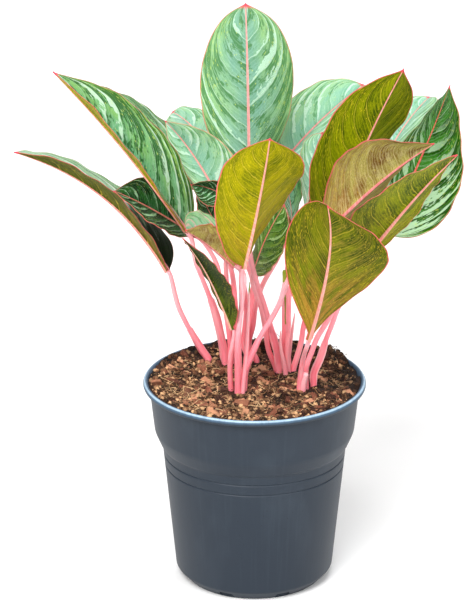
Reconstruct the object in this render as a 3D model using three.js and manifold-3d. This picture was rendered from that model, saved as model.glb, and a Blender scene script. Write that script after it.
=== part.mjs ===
// Potted chinese evergreen (pink-stemmed aglaonema) in a 17 cm nursery pot.
// Millimetres, +Z up. The origin is the centre of the pot's underside; the photo is taken from the -Y side.
import * as THREE from "three";
import Module from "manifold-3d";

const wasm = await Module();
wasm.setup();

// ---- driving dimensions ------------------------------------------------------------------------

const GAP = 0.3; // air left between two pieces that touch in the real plant

const POT = {
  segments: 40,
  footR: 53.5, // flat underside
  chamferR: 60.8, // where the foot chamfer meets the wall
  chamferZ: 8,
  wallTopR: 70.6, // wall just under the stepped band
  wallTopZ: 108.5,
  bandFootR: 76.6, // lower edge of the band
  bandFootZ: 121.5,
  bandTopR: 80.2, // under the rolled rim
  bandTopZ: 154,
  rimR: 85, // widest point of the rolled rim
  rimZ: 160.2, // crest of the rim
  wall: 1.4,
  floor: 1.8,
  grooves: [93, 101.5], // heights of the two fine grooves
  grooveDepth: 0.6,
  drains: 8, // notches through the foot chamfer
  drainWidth: 11,
  drainHeight: 5,
};

const SOIL = {
  level: 155.5, // mean height of the surface
  rings: [0, 14, 28, 42, 55, 67],
  edgeR: 80.4, // how far it reaches under the rim where it lies high
  edgeSlope: 0.55, // how fast it widens there as it rises
  segments: 40,
  chips: 28, // pieces of bark that stand out of the surface
  mounds: [[60, 43, 8.5, 12], [4, 68, 7.5, 8]], // heaps by the rim: x, y, height and half-width
  shore: [60, 16, 2.4], // the rise towards the rim: its start, its width and its height
};

const CANE = { bottom: 120, top: 150.5, hole: 119.6, clearance: 0.4 };

const PETIOLE = { footR: 2.3, topR: 1.65, flat: 0.8, sides: 6, joint: 19, lead: 8 };

const BLADE = {
  thickness: 0.8,
  ribDepth: 2.6, // how far the midrib stands out under the blade at its base
  ribHalf: 2.1, // half-width of the midrib at its base
  waves: 3, // waves along each margin
  stations: [0, 0.035, 0.09, 0.17, 0.27, 0.38, 0.5, 0.62, 0.73, 0.83, 0.91, 0.965, 1],
};

// The shoots: each is a cane in a plain hole in the soil, [x, y] at its centre and its radius.
const SHOOTS = {
  left: { at: [-36, 47], r: 4.6 },
  left_mid: { at: [-20, 44], r: 7.6 },
  front: { at: [-12.5, -15], r: 9 },
  back: { at: [-2, 46.5], r: 7.7 },
  mid: { at: [23, 25.5], r: 11.6 },
  right: { at: [39.5, -7.5], r: 11 },
};

// The petioles: the shoot each grows from, its foot [x, y] at the soil, how far its sheath stands out to
// each side, the share of its length that is sheathed, the points it passes, and where it isn't 8 mm, how
// far its top runs straight in line with the midrib. It ends at the base of the blade of the same name.
const PETIOLES = {
  left_long: {
    shoot: "left", foot: [-36, 47], wing: 1.3, sheath: 0.45, lead: 3,
    via: [[-41, 47, 165], [-48, 47, 178], [-54, 47, 190], [-59, 47, 202], [-63, 46, 217]],
  },
  left_high: {
    shoot: "left_mid", foot: [-23, 42], wing: 1.5, sheath: 0.52,
    via: [
      [-24, 42, 167], [-27, 40, 184], [-30, 38, 198], [-35, 35, 215],
      [-40, 31, 230], [-45, 27, 245], [-49, 23, 259],
    ],
  },
  left_dark: {
    shoot: "left_mid", foot: [-18, 43], wing: 0.2, sheath: 0.3,
    via: [[-19, 43, 175], [-22, 43, 198], [-26, 43, 220], [-29, 42, 238], [-34, 41, 254]],
  },
  left_rear: {
    shoot: "left_mid", foot: [-18, 46], wing: 0.2, sheath: 0.3,
    via: [[-14, 49, 177], [-15, 52, 205], [-17, 54, 225], [-22, 56, 244]],
  },
  inner_brown: {
    shoot: "left_mid", foot: [-20, 48], wing: 0.1, sheath: 0.3,
    via: [[-17, 53, 175], [-20, 50, 206], [-22, 40, 238]],
  },
  low_left: {
    shoot: "front", foot: [-18, -13], wing: 0.1, sheath: 0.3, lead: 3,
    via: [[-18.5, -14, 166], [-18.5, -17, 181], [-17.5, -21, 196]],
  },
  front_mid: {
    shoot: "front", foot: [-13, -18], wing: 0.2, sheath: 0.3,
    via: [[-13, -20, 175], [-13, -26, 198], [-11, -32, 222], [-10, -35, 237], [-9, -38, 251]],
  },
  curled: {
    shoot: "front", foot: [-12, -15], wing: 0.1, sheath: 0.3,
    via: [[-12, -17, 182], [-12, -22, 208], [-10, -27, 230], [-11, -31, 248]],
  },
  right_brown: {
    shoot: "front", foot: [-8, -13], wing: 1.0, sheath: 0.36,
    via: [
      [-7, -14, 172], [-1, -15, 188], [5, -16, 202], [13, -16, 216],
      [19, -17, 229], [23, -18, 243], [36, -18, 267],
    ],
  },
  far_back: {
    shoot: "back", foot: [2, 46], wing: 0.2, sheath: 0.3,
    via: [[-4, 46, 170], [-1, 46, 186], [1, 47, 202], [7, 48, 220], [18, 52, 239], [27, 56, 259]],
  },
  back_right: {
    shoot: "back", foot: [0, 47], wing: 1.5, sheath: 0.46,
    via: [[-5, 48, 169], [-3, 51, 184], [-3, 54, 200], [0, 57, 217], [4, 60, 233], [7, 65, 258]],
  },
  back_left: {
    shoot: "back", foot: [-4, 49], wing: 0.2, sheath: 0.3,
    via: [[-8, 52, 167], [-7, 56, 182], [-6, 62, 197], [-8, 70, 211], [-12, 80, 226], [-16, 92, 244]],
  },
  inner_left: {
    shoot: "back", foot: [-2, 44], wing: 0.1, sheath: 0.3,
    via: [[-6, 42, 175], [-6, 37, 196], [-8, 29, 221], [-11, 22, 247], [-13, 17, 272]],
  },
  crown: {
    shoot: "mid", foot: [19, 23], wing: 1.3, sheath: 0.28,
    via: [
      [18, 20, 172], [15, 16, 187], [11, 9, 204], [7, 3, 220],
      [3, -2, 234], [-1, -4, 249], [-4, 3, 264], [-4, 26, 283],
    ],
  },
  left_pale: {
    shoot: "mid", foot: [23, 28], wing: 0.3, sheath: 0.3,
    via: [
      [17, 28, 171], [12, 28, 187], [7, 28, 202], [2, 29, 218],
      [-4, 32, 237], [-13, 35, 260], [-23, 37, 282],
    ],
  },
  inner_mid: {
    shoot: "mid", foot: [17, 27], wing: 0.1, sheath: 0.3,
    via: [[11, 26, 173], [8, 25, 193], [5, 21, 210], [1, 17, 225]],
  },
  right_high: {
    shoot: "mid", foot: [26, 24], wing: 1.1, sheath: 0.26,
    via: [[25, 22, 175], [26, 21, 190], [26, 19, 207], [27, 15, 227], [36, 11, 251]],
  },
  inner_right: {
    shoot: "mid", foot: [24, 24], wing: 0.1, sheath: 0.3,
    via: [[23, 25, 174], [23, 25, 194], [23, 25, 215], [25, 24, 241]],
  },
  right_rear: {
    shoot: "mid", foot: [30, 27], wing: 0.3, sheath: 0.3,
    via: [[33, 28, 167], [36, 30, 178], [38, 32, 191], [45, 36, 215], [53, 40, 235], [66, 46, 254]],
  },
  front_right: {
    shoot: "right", foot: [34, -13], wing: 0.2, sheath: 0.4,
    via: [[35, -15, 170], [36, -20, 182], [37, -26, 190]],
  },
  right_olive: {
    shoot: "right", foot: [39, -9], wing: 0.3, sheath: 0.3,
    via: [[39, -9, 172], [43, -9, 185], [47, -10, 197], [54, -13, 211], [66, -20, 239]],
  },
  right_dark: {
    shoot: "right", foot: [45, -3], wing: 1.2, sheath: 0.34,
    via: [
      [45, -2, 165], [50, -1, 178], [54, 1, 191], [59, 3, 204],
      [63, 5, 215], [72, 9, 231], [84, 15, 251],
    ],
  },
};

// Rolled new leaves, short sheath ends and an old cut stalk that stand among the petioles: the shoot each
// is fused to, the points it passes, and its radius at both ends.
const SPEARS = [
  {
    shoot: "front",
    points: [[-9, -17, 147], [-9, -17, 157], [-6, -14, 191], [-5, -13, 212], [-4, -13, 243]],
    r: [2, 0.5],
  },
  { shoot: "front", points: [[19, -17, 226], [22, -17, 243], [22, -17, 254]], r: [1.9, 1.7] },
  { shoot: "mid", points: [[24, 20, 147], [24, 20, 157], [20, 16, 180], [20, 14, 194]], r: [2.2, 0.5] },
  { shoot: "mid", points: [[25, 26, 152], [27, 26, 172], [29, 26, 189], [31, 26, 204]], r: [2, 0.5] },
  { shoot: "mid", points: [[25, 21, 190], [24, 20, 210], [23, 19, 222]], r: [1.5, 0.6] },
  { shoot: "right", points: [[36, -13, 147], [37, -14, 162], [39, -15, 171]], r: [2.6, 2.3] },
];

// The blades. base, waist and tip: three points of the midrib. face: the way the upper side looks.
// half: greatest half-width. fold: degrees each half rises from flat. twist: degrees the blade turns
// from base to tip. skew: how much wider the one half is. belly: below 1 the widest place moves to the
// base, above 1 to the tip. wedge, point: how slowly it widens
// from the base and from the tip. wave: height of the margin's waves.
const BLADES = {
  crown: {
    base: [-4, 46, 298], waist: [-5, 57, 367], tip: [-7, 62, 438], face: [0.26, -0.96, 0.12],
    half: 37, fold: -9, twist: -39, skew: 0.02, belly: 1.1, wedge: 0.07, point: 0.03, wave: 0.8,
  },
  back_right: {
    base: [7, 70, 287], waist: [42, 106, 323], tip: [87, 144, 352], face: [-0.22, -0.51, 0.83],
    half: 31, fold: 36, twist: -12, skew: 0.04, belly: 1.05, wedge: 0.07, point: 0.02, wave: 0.8,
  },
  back_left: {
    base: [-22, 104, 278], waist: [-41, 132, 311], tip: [-65, 150, 328], face: [0.52, -0.35, 0.78],
    half: 29, fold: 12, twist: -30, skew: -0.21, belly: 1.06, wedge: 0.12, point: 0.02, wave: 0.8,
  },
  left_pale: {
    base: [-26, 42, 287], waist: [-46, 49, 322], tip: [-68, 50, 350], face: [0.07, -0.98, 0.2],
    half: 22, fold: 33, twist: -39, skew: 0.3, belly: 0.75, wedge: 0.05, point: 0.09, wave: 0.5,
  },
  left_rear: {
    base: [-36, 62, 286], waist: [-80, 76, 329], tip: [-122, 76, 370], face: [0.66, -0.21, 0.72],
    half: 30, fold: 8, twist: 34, skew: 0.06, belly: 1.02, wedge: 0.08, point: 0.03, wave: 0.8,
  },
  left_high: {
    base: [-51, 20, 271], waist: [-95, 0, 341], tip: [-147, -10, 405], face: [0.81, -0.29, 0.51],
    half: 32, fold: 33, twist: 17, skew: 0.03, belly: 0.84, wedge: 0.03, point: 0.1, wave: 0.8,
  },
  left_long: {
    base: [-66, 46, 230], waist: [-116, 58, 288], tip: [-182, 42, 328], face: [0.62, 0.27, 0.74],
    half: 32, fold: 18, twist: 25, skew: 0.28, belly: 0.77, wedge: 0.03, point: 0.05, wave: 0.8,
  },
  left_dark: {
    base: [-45, 40, 261], waist: [-78, 28, 287], tip: [-106, 17, 305], face: [0.58, -0.41, 0.7],
    half: 27, fold: 22, twist: 2, skew: -0.07, belly: 1.02, wedge: 0.08, point: 0.15, wave: 0.8,
  },
  right_high: {
    base: [54, 8, 271], waist: [79, -4, 343], tip: [107, -27, 412], face: [-0.4, 0.85, 0.35],
    half: 38, fold: 29, twist: -54, skew: -0.13, belly: 0.91, wedge: 0.06, point: 0.1, wave: 0.8,
  },
  right_rear: {
    base: [81, 60, 272], waist: [108, 91, 320], tip: [137, 120, 349], face: [-0.63, -0.33, 0.7],
    half: 32, fold: 22, twist: 20, skew: 0.23, belly: 1.1, wedge: 0.1, point: 0.02, wave: 0.8,
  },
  right_dark: {
    base: [98, 22, 268], waist: [125, 25, 330], tip: [145, 32, 383], face: [-0.77, -0.53, 0.35],
    half: 37, fold: -8, twist: -60, skew: 0.19, belly: 0.93, wedge: 0.02, point: 0.05, wave: 0.8,
  },
  right_brown: {
    base: [53, -18, 284], waist: [93, -35, 331], tip: [128, -54, 364], face: [-0.25, 0.77, 0.58],
    half: 31, fold: 30, twist: 43, skew: 0.16, belly: 1.17, wedge: 0.02, point: 0.13, wave: 0.8,
  },
  right_olive: {
    base: [83, -30, 271], waist: [114, -51, 321], tip: [144, -62, 358], face: [-0.54, 0.59, 0.59],
    half: 35, fold: 8, twist: 28, skew: 0.25, belly: 0.81, wedge: 0.03, point: 0.02, wave: 0.8,
  },
  front_right: {
    base: [40, -41, 207], waist: [53, -74, 281], tip: [51, -97, 331], face: [0.36, 0.86, 0.35],
    half: 44, fold: 21, twist: -70, skew: -0.02, belly: 1.08, wedge: 0.17, point: 0.1, wave: 0.8,
  },
  front_mid: {
    base: [-9, -40, 264], waist: [3, -65, 328], tip: [10, -78, 375], face: [-0.43, 0.83, 0.37],
    half: 35, fold: 13, twist: -60, skew: -0.05, belly: 1.01, wedge: 0.04, point: 0.08, wave: 0.8,
  },
  low_left: {
    base: [-16, -25, 210], waist: [-34, -27, 254], tip: [-53, -39, 287], face: [0.78, 0.44, 0.44],
    half: 22, fold: 4, twist: -3, skew: -0.28, belly: 1.05, wedge: 0.04, point: 0.08, wave: 0.5,
  },
  curled: {
    base: [-14, -34, 263], waist: [-35, -32, 281], tip: [-51, -42, 294], face: [0.59, 0.28, 0.76],
    half: 23, fold: 45, twist: 24, skew: 0.14, belly: 1.03, wedge: 0.07, point: 0.04, wave: 0.5,
  },
  inner_left: {
    base: [-13, 16, 294], waist: [-31, 22, 304], tip: [-48, 19, 309], face: [-0.15, -0.99, 0.04],
    half: 14, fold: 41, twist: -28, skew: 0.02, belly: 0.99, wedge: 0.08, point: 0.06, wave: 0.5,
  },
  inner_mid: {
    base: [-1, 14, 241], waist: [8, 4, 272], tip: [22, 2, 299], face: [-0.85, -0.47, 0.23],
    half: 19, fold: -4, twist: 8, skew: 0.24, belly: 1.03, wedge: 0.02, point: 0.04, wave: 0.5,
  },
  inner_right: {
    base: [28, 22, 271], waist: [25, 27, 302], tip: [13, 30, 333], face: [0.87, -0.42, 0.27],
    half: 19, fold: 8, twist: -28, skew: 0.07, belly: 1.08, wedge: 0.16, point: 0.05, wave: 0.5,
  },
  inner_brown: {
    base: [-24, 26, 266], waist: [-34, 27, 285], tip: [-43, 30, 303], face: [0.7, -0.56, 0.45],
    half: 12, fold: 4, twist: 10, skew: -0.04, belly: 1.04, wedge: 0.1, point: 0.06, wave: 0.5,
  },
  far_back: {
    base: [39, 44, 278], waist: [44, 50, 309], tip: [51, 50, 341], face: [-0.9, -0.38, 0.21],
    half: 18, fold: 10, twist: 31, skew: -0.08, belly: 1.08, wedge: 0.17, point: 0.05, wave: 0.5,
  },
};

const COLOUR = {
  pot: 0x46505c,
  soil: 0x4a3428,
  petiole: 0xf08f95,
  upper: 0x7fb08c,
  upperDark: 0x2f5a35,
  under: 0x7d7a2c,
  underDark: 0x5c5a2e,
};

// ---- small helpers -----------------------------------------------------------------------------

// A repeatable stream of numbers between 0 and 1.
function stream(seed) {
  let state = seed;
  return () => {
    state = (state * 16807) % 2147483647;
    return state / 2147483647;
  };
}

// A closed solid from points and triangles.
function solid(points, triangles) {
  return new wasm.Manifold(
    new wasm.Mesh({
      numProp: 3,
      vertProperties: new Float32Array(points.flat()),
      triVerts: new Uint32Array(triangles.flat()),
    }),
  );
}

// A solid from rings with equal numbers of points; a ring of one point is a pole. With capped ends, both
// end rings are closed by a fan.
function loft(rings) {
  const points = [];
  const starts = rings.map((ring) => {
    const start = points.length;
    points.push(...ring);
    return start;
  });
  const triangles = [];
  const count = Math.max(...rings.map((ring) => ring.length));
  for (let i = 0; i + 1 < rings.length; i++) {
    const a = starts[i];
    const b = starts[i + 1];
    for (let j = 0; j < count; j++) {
      const k = (j + 1) % count;
      if (rings[i].length === 1) triangles.push([a, b + k, b + j]);
      else if (rings[i + 1].length === 1) triangles.push([a + j, a + k, b]);
      else triangles.push([a + j, a + k, b + k], [a + j, b + k, b + j]);
    }
  }
  for (const [end, turned] of [[0, true], [rings.length - 1, false]]) {
    if (rings[end].length === 1) continue;
    for (let j = 1; j + 1 < count; j++) {
      const s = starts[end];
      triangles.push(turned ? [s, s + j + 1, s + j] : [s, s + j, s + j + 1]);
    }
  }
  return solid(points, triangles);
}

// A solid of revolution about Z; the profile is [radius, z], starting and ending on the axis.
function revolve(profile, segments) {
  const rings = profile.map(([r, z]) => {
    if (r === 0) return [[0, 0, z]];
    return Array.from({ length: segments }, (_, j) => {
      const a = (2 * Math.PI * j) / segments;
      return [r * Math.cos(a), r * Math.sin(a), z];
    });
  });
  return loft(rings);
}

// An upright prism with a round section.
function peg(x, y, radius, bottom, top, sides = 12) {
  const ring = (z) =>
    Array.from({ length: sides }, (_, j) => {
      const a = (2 * Math.PI * j) / sides;
      return [x + radius * Math.cos(a), y + radius * Math.sin(a), z];
    });
  return loft([ring(bottom), ring(top)]);
}

function box(width, depth, height) {
  const w = width / 2;
  const d = depth / 2;
  const h = height / 2;
  const ring = (z) => [[-w, -d, z], [w, -d, z], [w, d, z], [-w, d, z]];
  return loft([ring(-h), ring(h)]);
}

const vec = (p) => new THREE.Vector3(...p);

// ---- pot ---------------------------------------------------------------------------------------

// The wall's outer profile from the foot to the rim, [radius, z].
function potOutside() {
  const wallR = (z) =>
    POT.chamferR + ((POT.wallTopR - POT.chamferR) * (z - POT.chamferZ)) / (POT.wallTopZ - POT.chamferZ);
  const profile = [[POT.footR, 0], [POT.chamferR, POT.chamferZ]];
  for (const z of POT.grooves) {
    profile.push([wallR(z - 0.9), z - 0.9], [wallR(z) - POT.grooveDepth, z], [wallR(z + 0.9), z + 0.9]);
  }
  profile.push([POT.wallTopR, POT.wallTopZ]);
  profile.push([POT.wallTopR + 1.6, POT.wallTopZ + 2]);
  profile.push([POT.bandFootR - 0.8, POT.bandFootZ - 2.5]);
  profile.push([POT.bandFootR, POT.bandFootZ]);
  profile.push([POT.bandTopR, POT.bandTopZ]);
  return profile;
}

// The inside of the wall from the floor to the rim, set in by the given distance.
function potInside(inset, floor) {
  return [
    [0, floor],
    [POT.footR - 0.6 * inset, floor],
    [POT.chamferR - inset, POT.chamferZ + 0.8],
    [POT.wallTopR - inset, POT.wallTopZ + 1.2],
    [POT.bandFootR - 0.4 - inset, POT.bandFootZ - 0.6],
    [POT.bandTopR - inset, POT.bandTopZ],
  ];
}

function makePot() {
  const rim = [
    [POT.bandTopR + 0.7, POT.bandTopZ + 1.4],
    [POT.rimR - 0.7, POT.bandTopZ + 1.6],
    [POT.rimR, POT.bandTopZ + 3],
    [POT.rimR, POT.rimZ - 1.8],
    [POT.rimR - 0.7, POT.rimZ - 0.6],
    [POT.rimR - 1.6, POT.rimZ],
    [POT.rimR - 2.9, POT.rimZ - 0.3],
    [POT.rimR - 3.6, POT.rimZ - 1.6],
  ];
  const profile = [[0, 0], ...potOutside(), ...rim, ...potInside(POT.wall, POT.floor).reverse()];
  let pot = revolve(profile, POT.segments);
  const notch = box(22, POT.drainWidth, 2 * POT.drainHeight).translate([POT.chamferR + 4, 0, 0]);
  for (let i = 0; i < POT.drains; i++) {
    pot = pot.subtract(notch.rotate([0, 0, (360 * (i + 0.5)) / POT.drains]));
  }
  return pot;
}

// ---- soil --------------------------------------------------------------------------------------

// Height of the soil's surface: bumps, a bank against the rim at the back, flat round the canes.
function soilHeight(x, y) {
  let bumps = 1.1 * Math.sin(0.17 * x + 0.6) * Math.cos(0.14 * y);
  bumps += 0.9 * Math.sin(0.31 * x - 0.23 * y + 1.9);
  const r = Math.hypot(x, y);
  const ripple = 0.6 + 0.4 * Math.abs(Math.sin(x / 22));
  const bank = 3.2 * Math.max(0, (r - 50) / 28) * Math.max(0, y / 70) * ripple;
  let calm = 1;
  for (const { at, r: radius } of Object.values(SHOOTS)) {
    const near = (Math.hypot(x - at[0], y - at[1]) - radius) / 14;
    calm = Math.min(calm, Math.max(0, near));
  }
  const [start, width, rise] = SOIL.shore;
  let heaped = rise * Math.min(1, Math.max(0, (r - start) / width));
  for (const [mx, my, height, half] of SOIL.mounds) {
    heaped += height * Math.exp(-((x - mx) ** 2 + (y - my) ** 2) / half ** 2);
  }
  return SOIL.level + bumps * calm + bank + heaped;
}

function makeSoil() {
  const inset = POT.wall + GAP;
  const sides = potInside(inset, POT.floor + GAP).map(([r, z]) => [r, z]);
  const rings = [];
  const circle = (r, height) =>
    Array.from({ length: SOIL.segments }, (_, j) => {
      const a = (2 * Math.PI * j) / SOIL.segments;
      const x = r * Math.cos(a);
      const y = r * Math.sin(a);
      return [x, y, height(x, y)];
    });
  for (const [r, z] of sides) rings.push(r === 0 ? [[0, 0, z]] : circle(r, () => z));
  const [foot, footZ] = sides.at(-1);
  const edge = Array.from({ length: SOIL.segments }, (_, j) => {
    const a = (2 * Math.PI * j) / SOIL.segments;
    const z = soilHeight(SOIL.edgeR * Math.cos(a), SOIL.edgeR * Math.sin(a));
    const r = Math.min(SOIL.edgeR, foot + SOIL.edgeSlope * (z - footZ));
    return [r * Math.cos(a), r * Math.sin(a), z];
  });
  rings.push(edge);
  for (const r of [...SOIL.rings].reverse()) {
    rings.push(r === 0 ? [[0, 0, soilHeight(0, 0)]] : circle(r, soilHeight));
  }
  let soil = loft(rings);
  const next = stream(20731);
  let placed = 0;
  while (placed < SOIL.chips) {
    const r = 72 * Math.sqrt(next());
    const a = 2 * Math.PI * next();
    const x = r * Math.cos(a);
    const y = r * Math.sin(a);
    const size = [3.5 + 4.5 * next(), 2.2 + 2 * next(), 1.2 + 1.2 * next()];
    const turn = [24 * (next() - 0.5), 24 * (next() - 0.5), 360 * next()];
    const clear = Object.values(SHOOTS).every(
      ({ at, r: radius }) => Math.hypot(x - at[0], y - at[1]) > radius + 7,
    );
    if (!clear) continue;
    soil = soil.add(box(...size).rotate(turn).translate([x, y, soilHeight(x, y)]));
    placed += 1;
  }
  for (const { at, r } of Object.values(SHOOTS)) {
    soil = soil.subtract(peg(at[0], at[1], r + CANE.clearance, CANE.hole, 175));
  }
  const [body] = soil.decompose().sort((a, b) => b.volume() - a.volume());
  return body;
}

// The curve of a blade's midrib, and the way it leaves its petiole.
function midrib(blade) {
  const base = vec(blade.base);
  const waist = vec(blade.waist);
  const tip = vec(blade.tip);
  const control = waist.clone().multiplyScalar(2).sub(base.clone().add(tip).multiplyScalar(0.5));
  const curve = new THREE.QuadraticBezierCurve3(base, control, tip);
  return { curve, heading: curve.getTangent(0) };
}

// ---- shoots ------------------------------------------------------------------------------------

// A tube along points. The section is an oval, wide across X; over the sheathed lower part it is wider
// still and steps in where the sheath ends.
function petiole(points, heading, footR, topR, spread, sheath) {
  const curve = new THREE.CatmullRomCurve3(points.map(vec), false, "centripetal");
  const steps = Math.round(1.35 * points.length);
  const rings = [];
  for (let i = 0; i <= steps; i++) {
    const s = i / steps;
    const centre = curve.getPointAt(s);
    const along = i === steps ? heading : curve.getTangentAt(s);
    const across = new THREE.Vector3(1, 0, 0).addScaledVector(along, -along.x).normalize();
    const out = new THREE.Vector3().crossVectors(along, across);
    const r = THREE.MathUtils.lerp(footR, topR, s);
    const wing = s > 0.05 && s < sheath ? spread * (1 - (0.35 * s) / sheath) : 0;
    const thin = THREE.MathUtils.lerp(PETIOLE.flat, 1, s);
    rings.push(
      Array.from({ length: PETIOLE.sides }, (_, j) => {
        const a = (2 * Math.PI * j) / PETIOLE.sides;
        return centre
          .clone()
          .addScaledVector(across, (r + wing) * Math.cos(a))
          .addScaledVector(out, r * thin * Math.sin(a))
          .toArray();
      }),
    );
  }
  return loft(rings);
}

function makeShoot(key) {
  const { at, r } = SHOOTS[key];
  let shoot = peg(at[0], at[1], r, CANE.bottom, CANE.top);
  for (const [name, route] of Object.entries(PETIOLES)) {
    if (route.shoot !== key) continue;
    const [x, y] = route.foot;
    const { curve, heading } = midrib(BLADES[name]);
    const end = curve.getPoint(0).addScaledVector(heading, -0.1);
    const before = end.clone().addScaledVector(heading, -(route.lead ?? PETIOLE.lead));
    const via = route.via.filter((p) => vec(p).distanceTo(end) > PETIOLE.joint);
    const points = [[x, y, CANE.top - 4], [x, y, CANE.top + 6], ...via, before.toArray(), end.toArray()];
    shoot = shoot.add(petiole(points, heading, PETIOLE.footR, PETIOLE.topR, route.wing, route.sheath));
  }
  for (const { points, r: [start, end] } of SPEARS.filter((s) => s.shoot === key)) {
    const heading = vec(points.at(-1)).sub(vec(points.at(-2))).normalize();
    shoot = shoot.add(petiole(points, heading, start, end, 0, 0));
  }
  return shoot;
}

// ---- blades ------------------------------------------------------------------------------------

// Half-width at s (0 base, 1 tip), as a part of the greatest.
function outline(s, { belly, wedge, point }) {
  const body = Math.sin(Math.PI * s ** belly) ** 0.52;
  return body * (1 - Math.exp(-(1 - s) / point)) * (1 - Math.exp(-s / wedge));
}

function makeBlade(key) {
  const b = BLADES[key];
  const { curve } = midrib(b);
  const last = BLADE.stations.length - 1;
  const start = GAP / curve.getLength();
  const upper = [];
  const lower = [];
  BLADE.stations.forEach((station, i) => {
    const s = i === 0 ? start : station;
    const centre = curve.getPoint(s);
    const along = curve.getTangent(s);
    const face = vec(b.face);
    face.addScaledVector(along, -face.dot(along)).normalize();
    face.applyAxisAngle(along, THREE.MathUtils.degToRad(b.twist * (s - 0.5)));
    const side = new THREE.Vector3().crossVectors(along, face);
    const rib = THREE.MathUtils.lerp(BLADE.ribHalf, 0.5, s);
    const depth = THREE.MathUtils.lerp(BLADE.ribDepth, 0.3, s ** 0.7);
    const shape = s > 0 && s < 1 ? outline(s, b) : 0;
    const half = Math.max(b.half * shape, i === last ? 0.7 : 1.3 * rib);
    const fold = THREE.MathUtils.degToRad(b.fold);
    const ribPart = Math.min(0.5, rib / half);
    const top = [];
    const under = [];
    for (const t of [-1, -0.58, -ribPart, 0, ribPart, 0.58, 1]) {
      const sign = Math.sign(t);
      const reach = half * Math.abs(t) * (1 + sign * b.skew);
      const rise =
        reach * Math.sin(fold) +
        b.wave * Math.sin(2 * Math.PI * BLADE.waves * s + sign) * t * t * Math.min(1, half / 15);
      const p = centre
        .clone()
        .addScaledVector(side, sign * reach * Math.cos(fold))
        .addScaledVector(face, rise);
      const drop = BLADE.thickness + (t === 0 ? depth : 0);
      top.push(p.clone().toArray());
      under.push(p.clone().addScaledVector(face, -drop).toArray());
    }
    upper.push(top);
    lower.push(under);
  });
  return sheet(upper, lower);
}

// A closed body between two grids of points, both split along the same diagonals.
function sheet(upper, lower) {
  const rows = upper.length;
  const columns = upper[0].length;
  const points = [...upper.flat(), ...lower.flat()];
  const at = (i, j) => i * columns + j;
  const below = (i, j) => rows * columns + at(i, j);
  const triangles = [];
  for (let i = 0; i + 1 < rows; i++) {
    for (let j = 0; j + 1 < columns; j++) {
      triangles.push([at(i, j), at(i, j + 1), at(i + 1, j + 1)], [at(i, j), at(i + 1, j + 1), at(i + 1, j)]);
      triangles.push([below(i, j), below(i + 1, j + 1), below(i, j + 1)]);
      triangles.push([below(i, j), below(i + 1, j), below(i + 1, j + 1)]);
    }
    const k = columns - 1;
    triangles.push([at(i, 0), at(i + 1, 0), below(i + 1, 0)], [at(i, 0), below(i + 1, 0), below(i, 0)]);
    triangles.push([at(i, k), below(i + 1, k), at(i + 1, k)], [at(i, k), below(i, k), below(i + 1, k)]);
  }
  for (let j = 0; j + 1 < columns; j++) {
    const r = rows - 1;
    triangles.push([at(0, j), below(0, j + 1), at(0, j + 1)], [at(0, j), below(0, j), below(0, j + 1)]);
    triangles.push([at(r, j), at(r, j + 1), below(r, j + 1)], [at(r, j), below(r, j + 1), below(r, j)]);
  }
  return solid(points, triangles);
}

// ---- assembly ----------------------------------------------------------------------------------

const group = new THREE.Group();
group.name = "potted_chinese_evergreen";

function addPiece(name, body, color, roughness) {
  const mesh = body.getMesh();
  const geometry = new THREE.BufferGeometry();
  geometry.setAttribute("position", new THREE.BufferAttribute(mesh.vertProperties, 3));
  geometry.setIndex(new THREE.BufferAttribute(mesh.triVerts, 1));
  geometry.computeVertexNormals();
  const material = new THREE.MeshStandardMaterial({ color, roughness, metalness: 0 });
  const piece = new THREE.Mesh(geometry, material);
  piece.name = name;
  group.add(piece);
}

const UNDERSIDES = ["left_long", "right_high", "right_brown", "right_olive", "front_right", "front_mid"];
const DARK = ["left_dark", "right_dark", "low_left", "inner_left", "inner_mid", "inner_brown"];

addPiece("pot", makePot(), COLOUR.pot, 0.5);
addPiece("soil", makeSoil(), COLOUR.soil, 0.95);
for (const key of Object.keys(SHOOTS)) {
  addPiece("shoot_" + key, makeShoot(key), COLOUR.petiole, 0.45);
}
for (const key of Object.keys(BLADES)) {
  const olive = key === "front_right" ? COLOUR.underDark : COLOUR.under;
  const green = DARK.includes(key) ? COLOUR.upperDark : COLOUR.upper;
  addPiece("leaf_" + key, makeBlade(key), UNDERSIDES.includes(key) ? olive : green, 0.4);
}

export default group;
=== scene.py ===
"""A pink-stemmed chinese evergreen in its nursery pot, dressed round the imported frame.

Sizes in the classes are millimetres; MM turns them into metres where a mesh is made.
"""

from __future__ import annotations

import logging
import math
from dataclasses import dataclass, field
from enum import Enum
from typing import Any, Sequence

import bpy
import numpy as np
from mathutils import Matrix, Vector, noise


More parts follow.
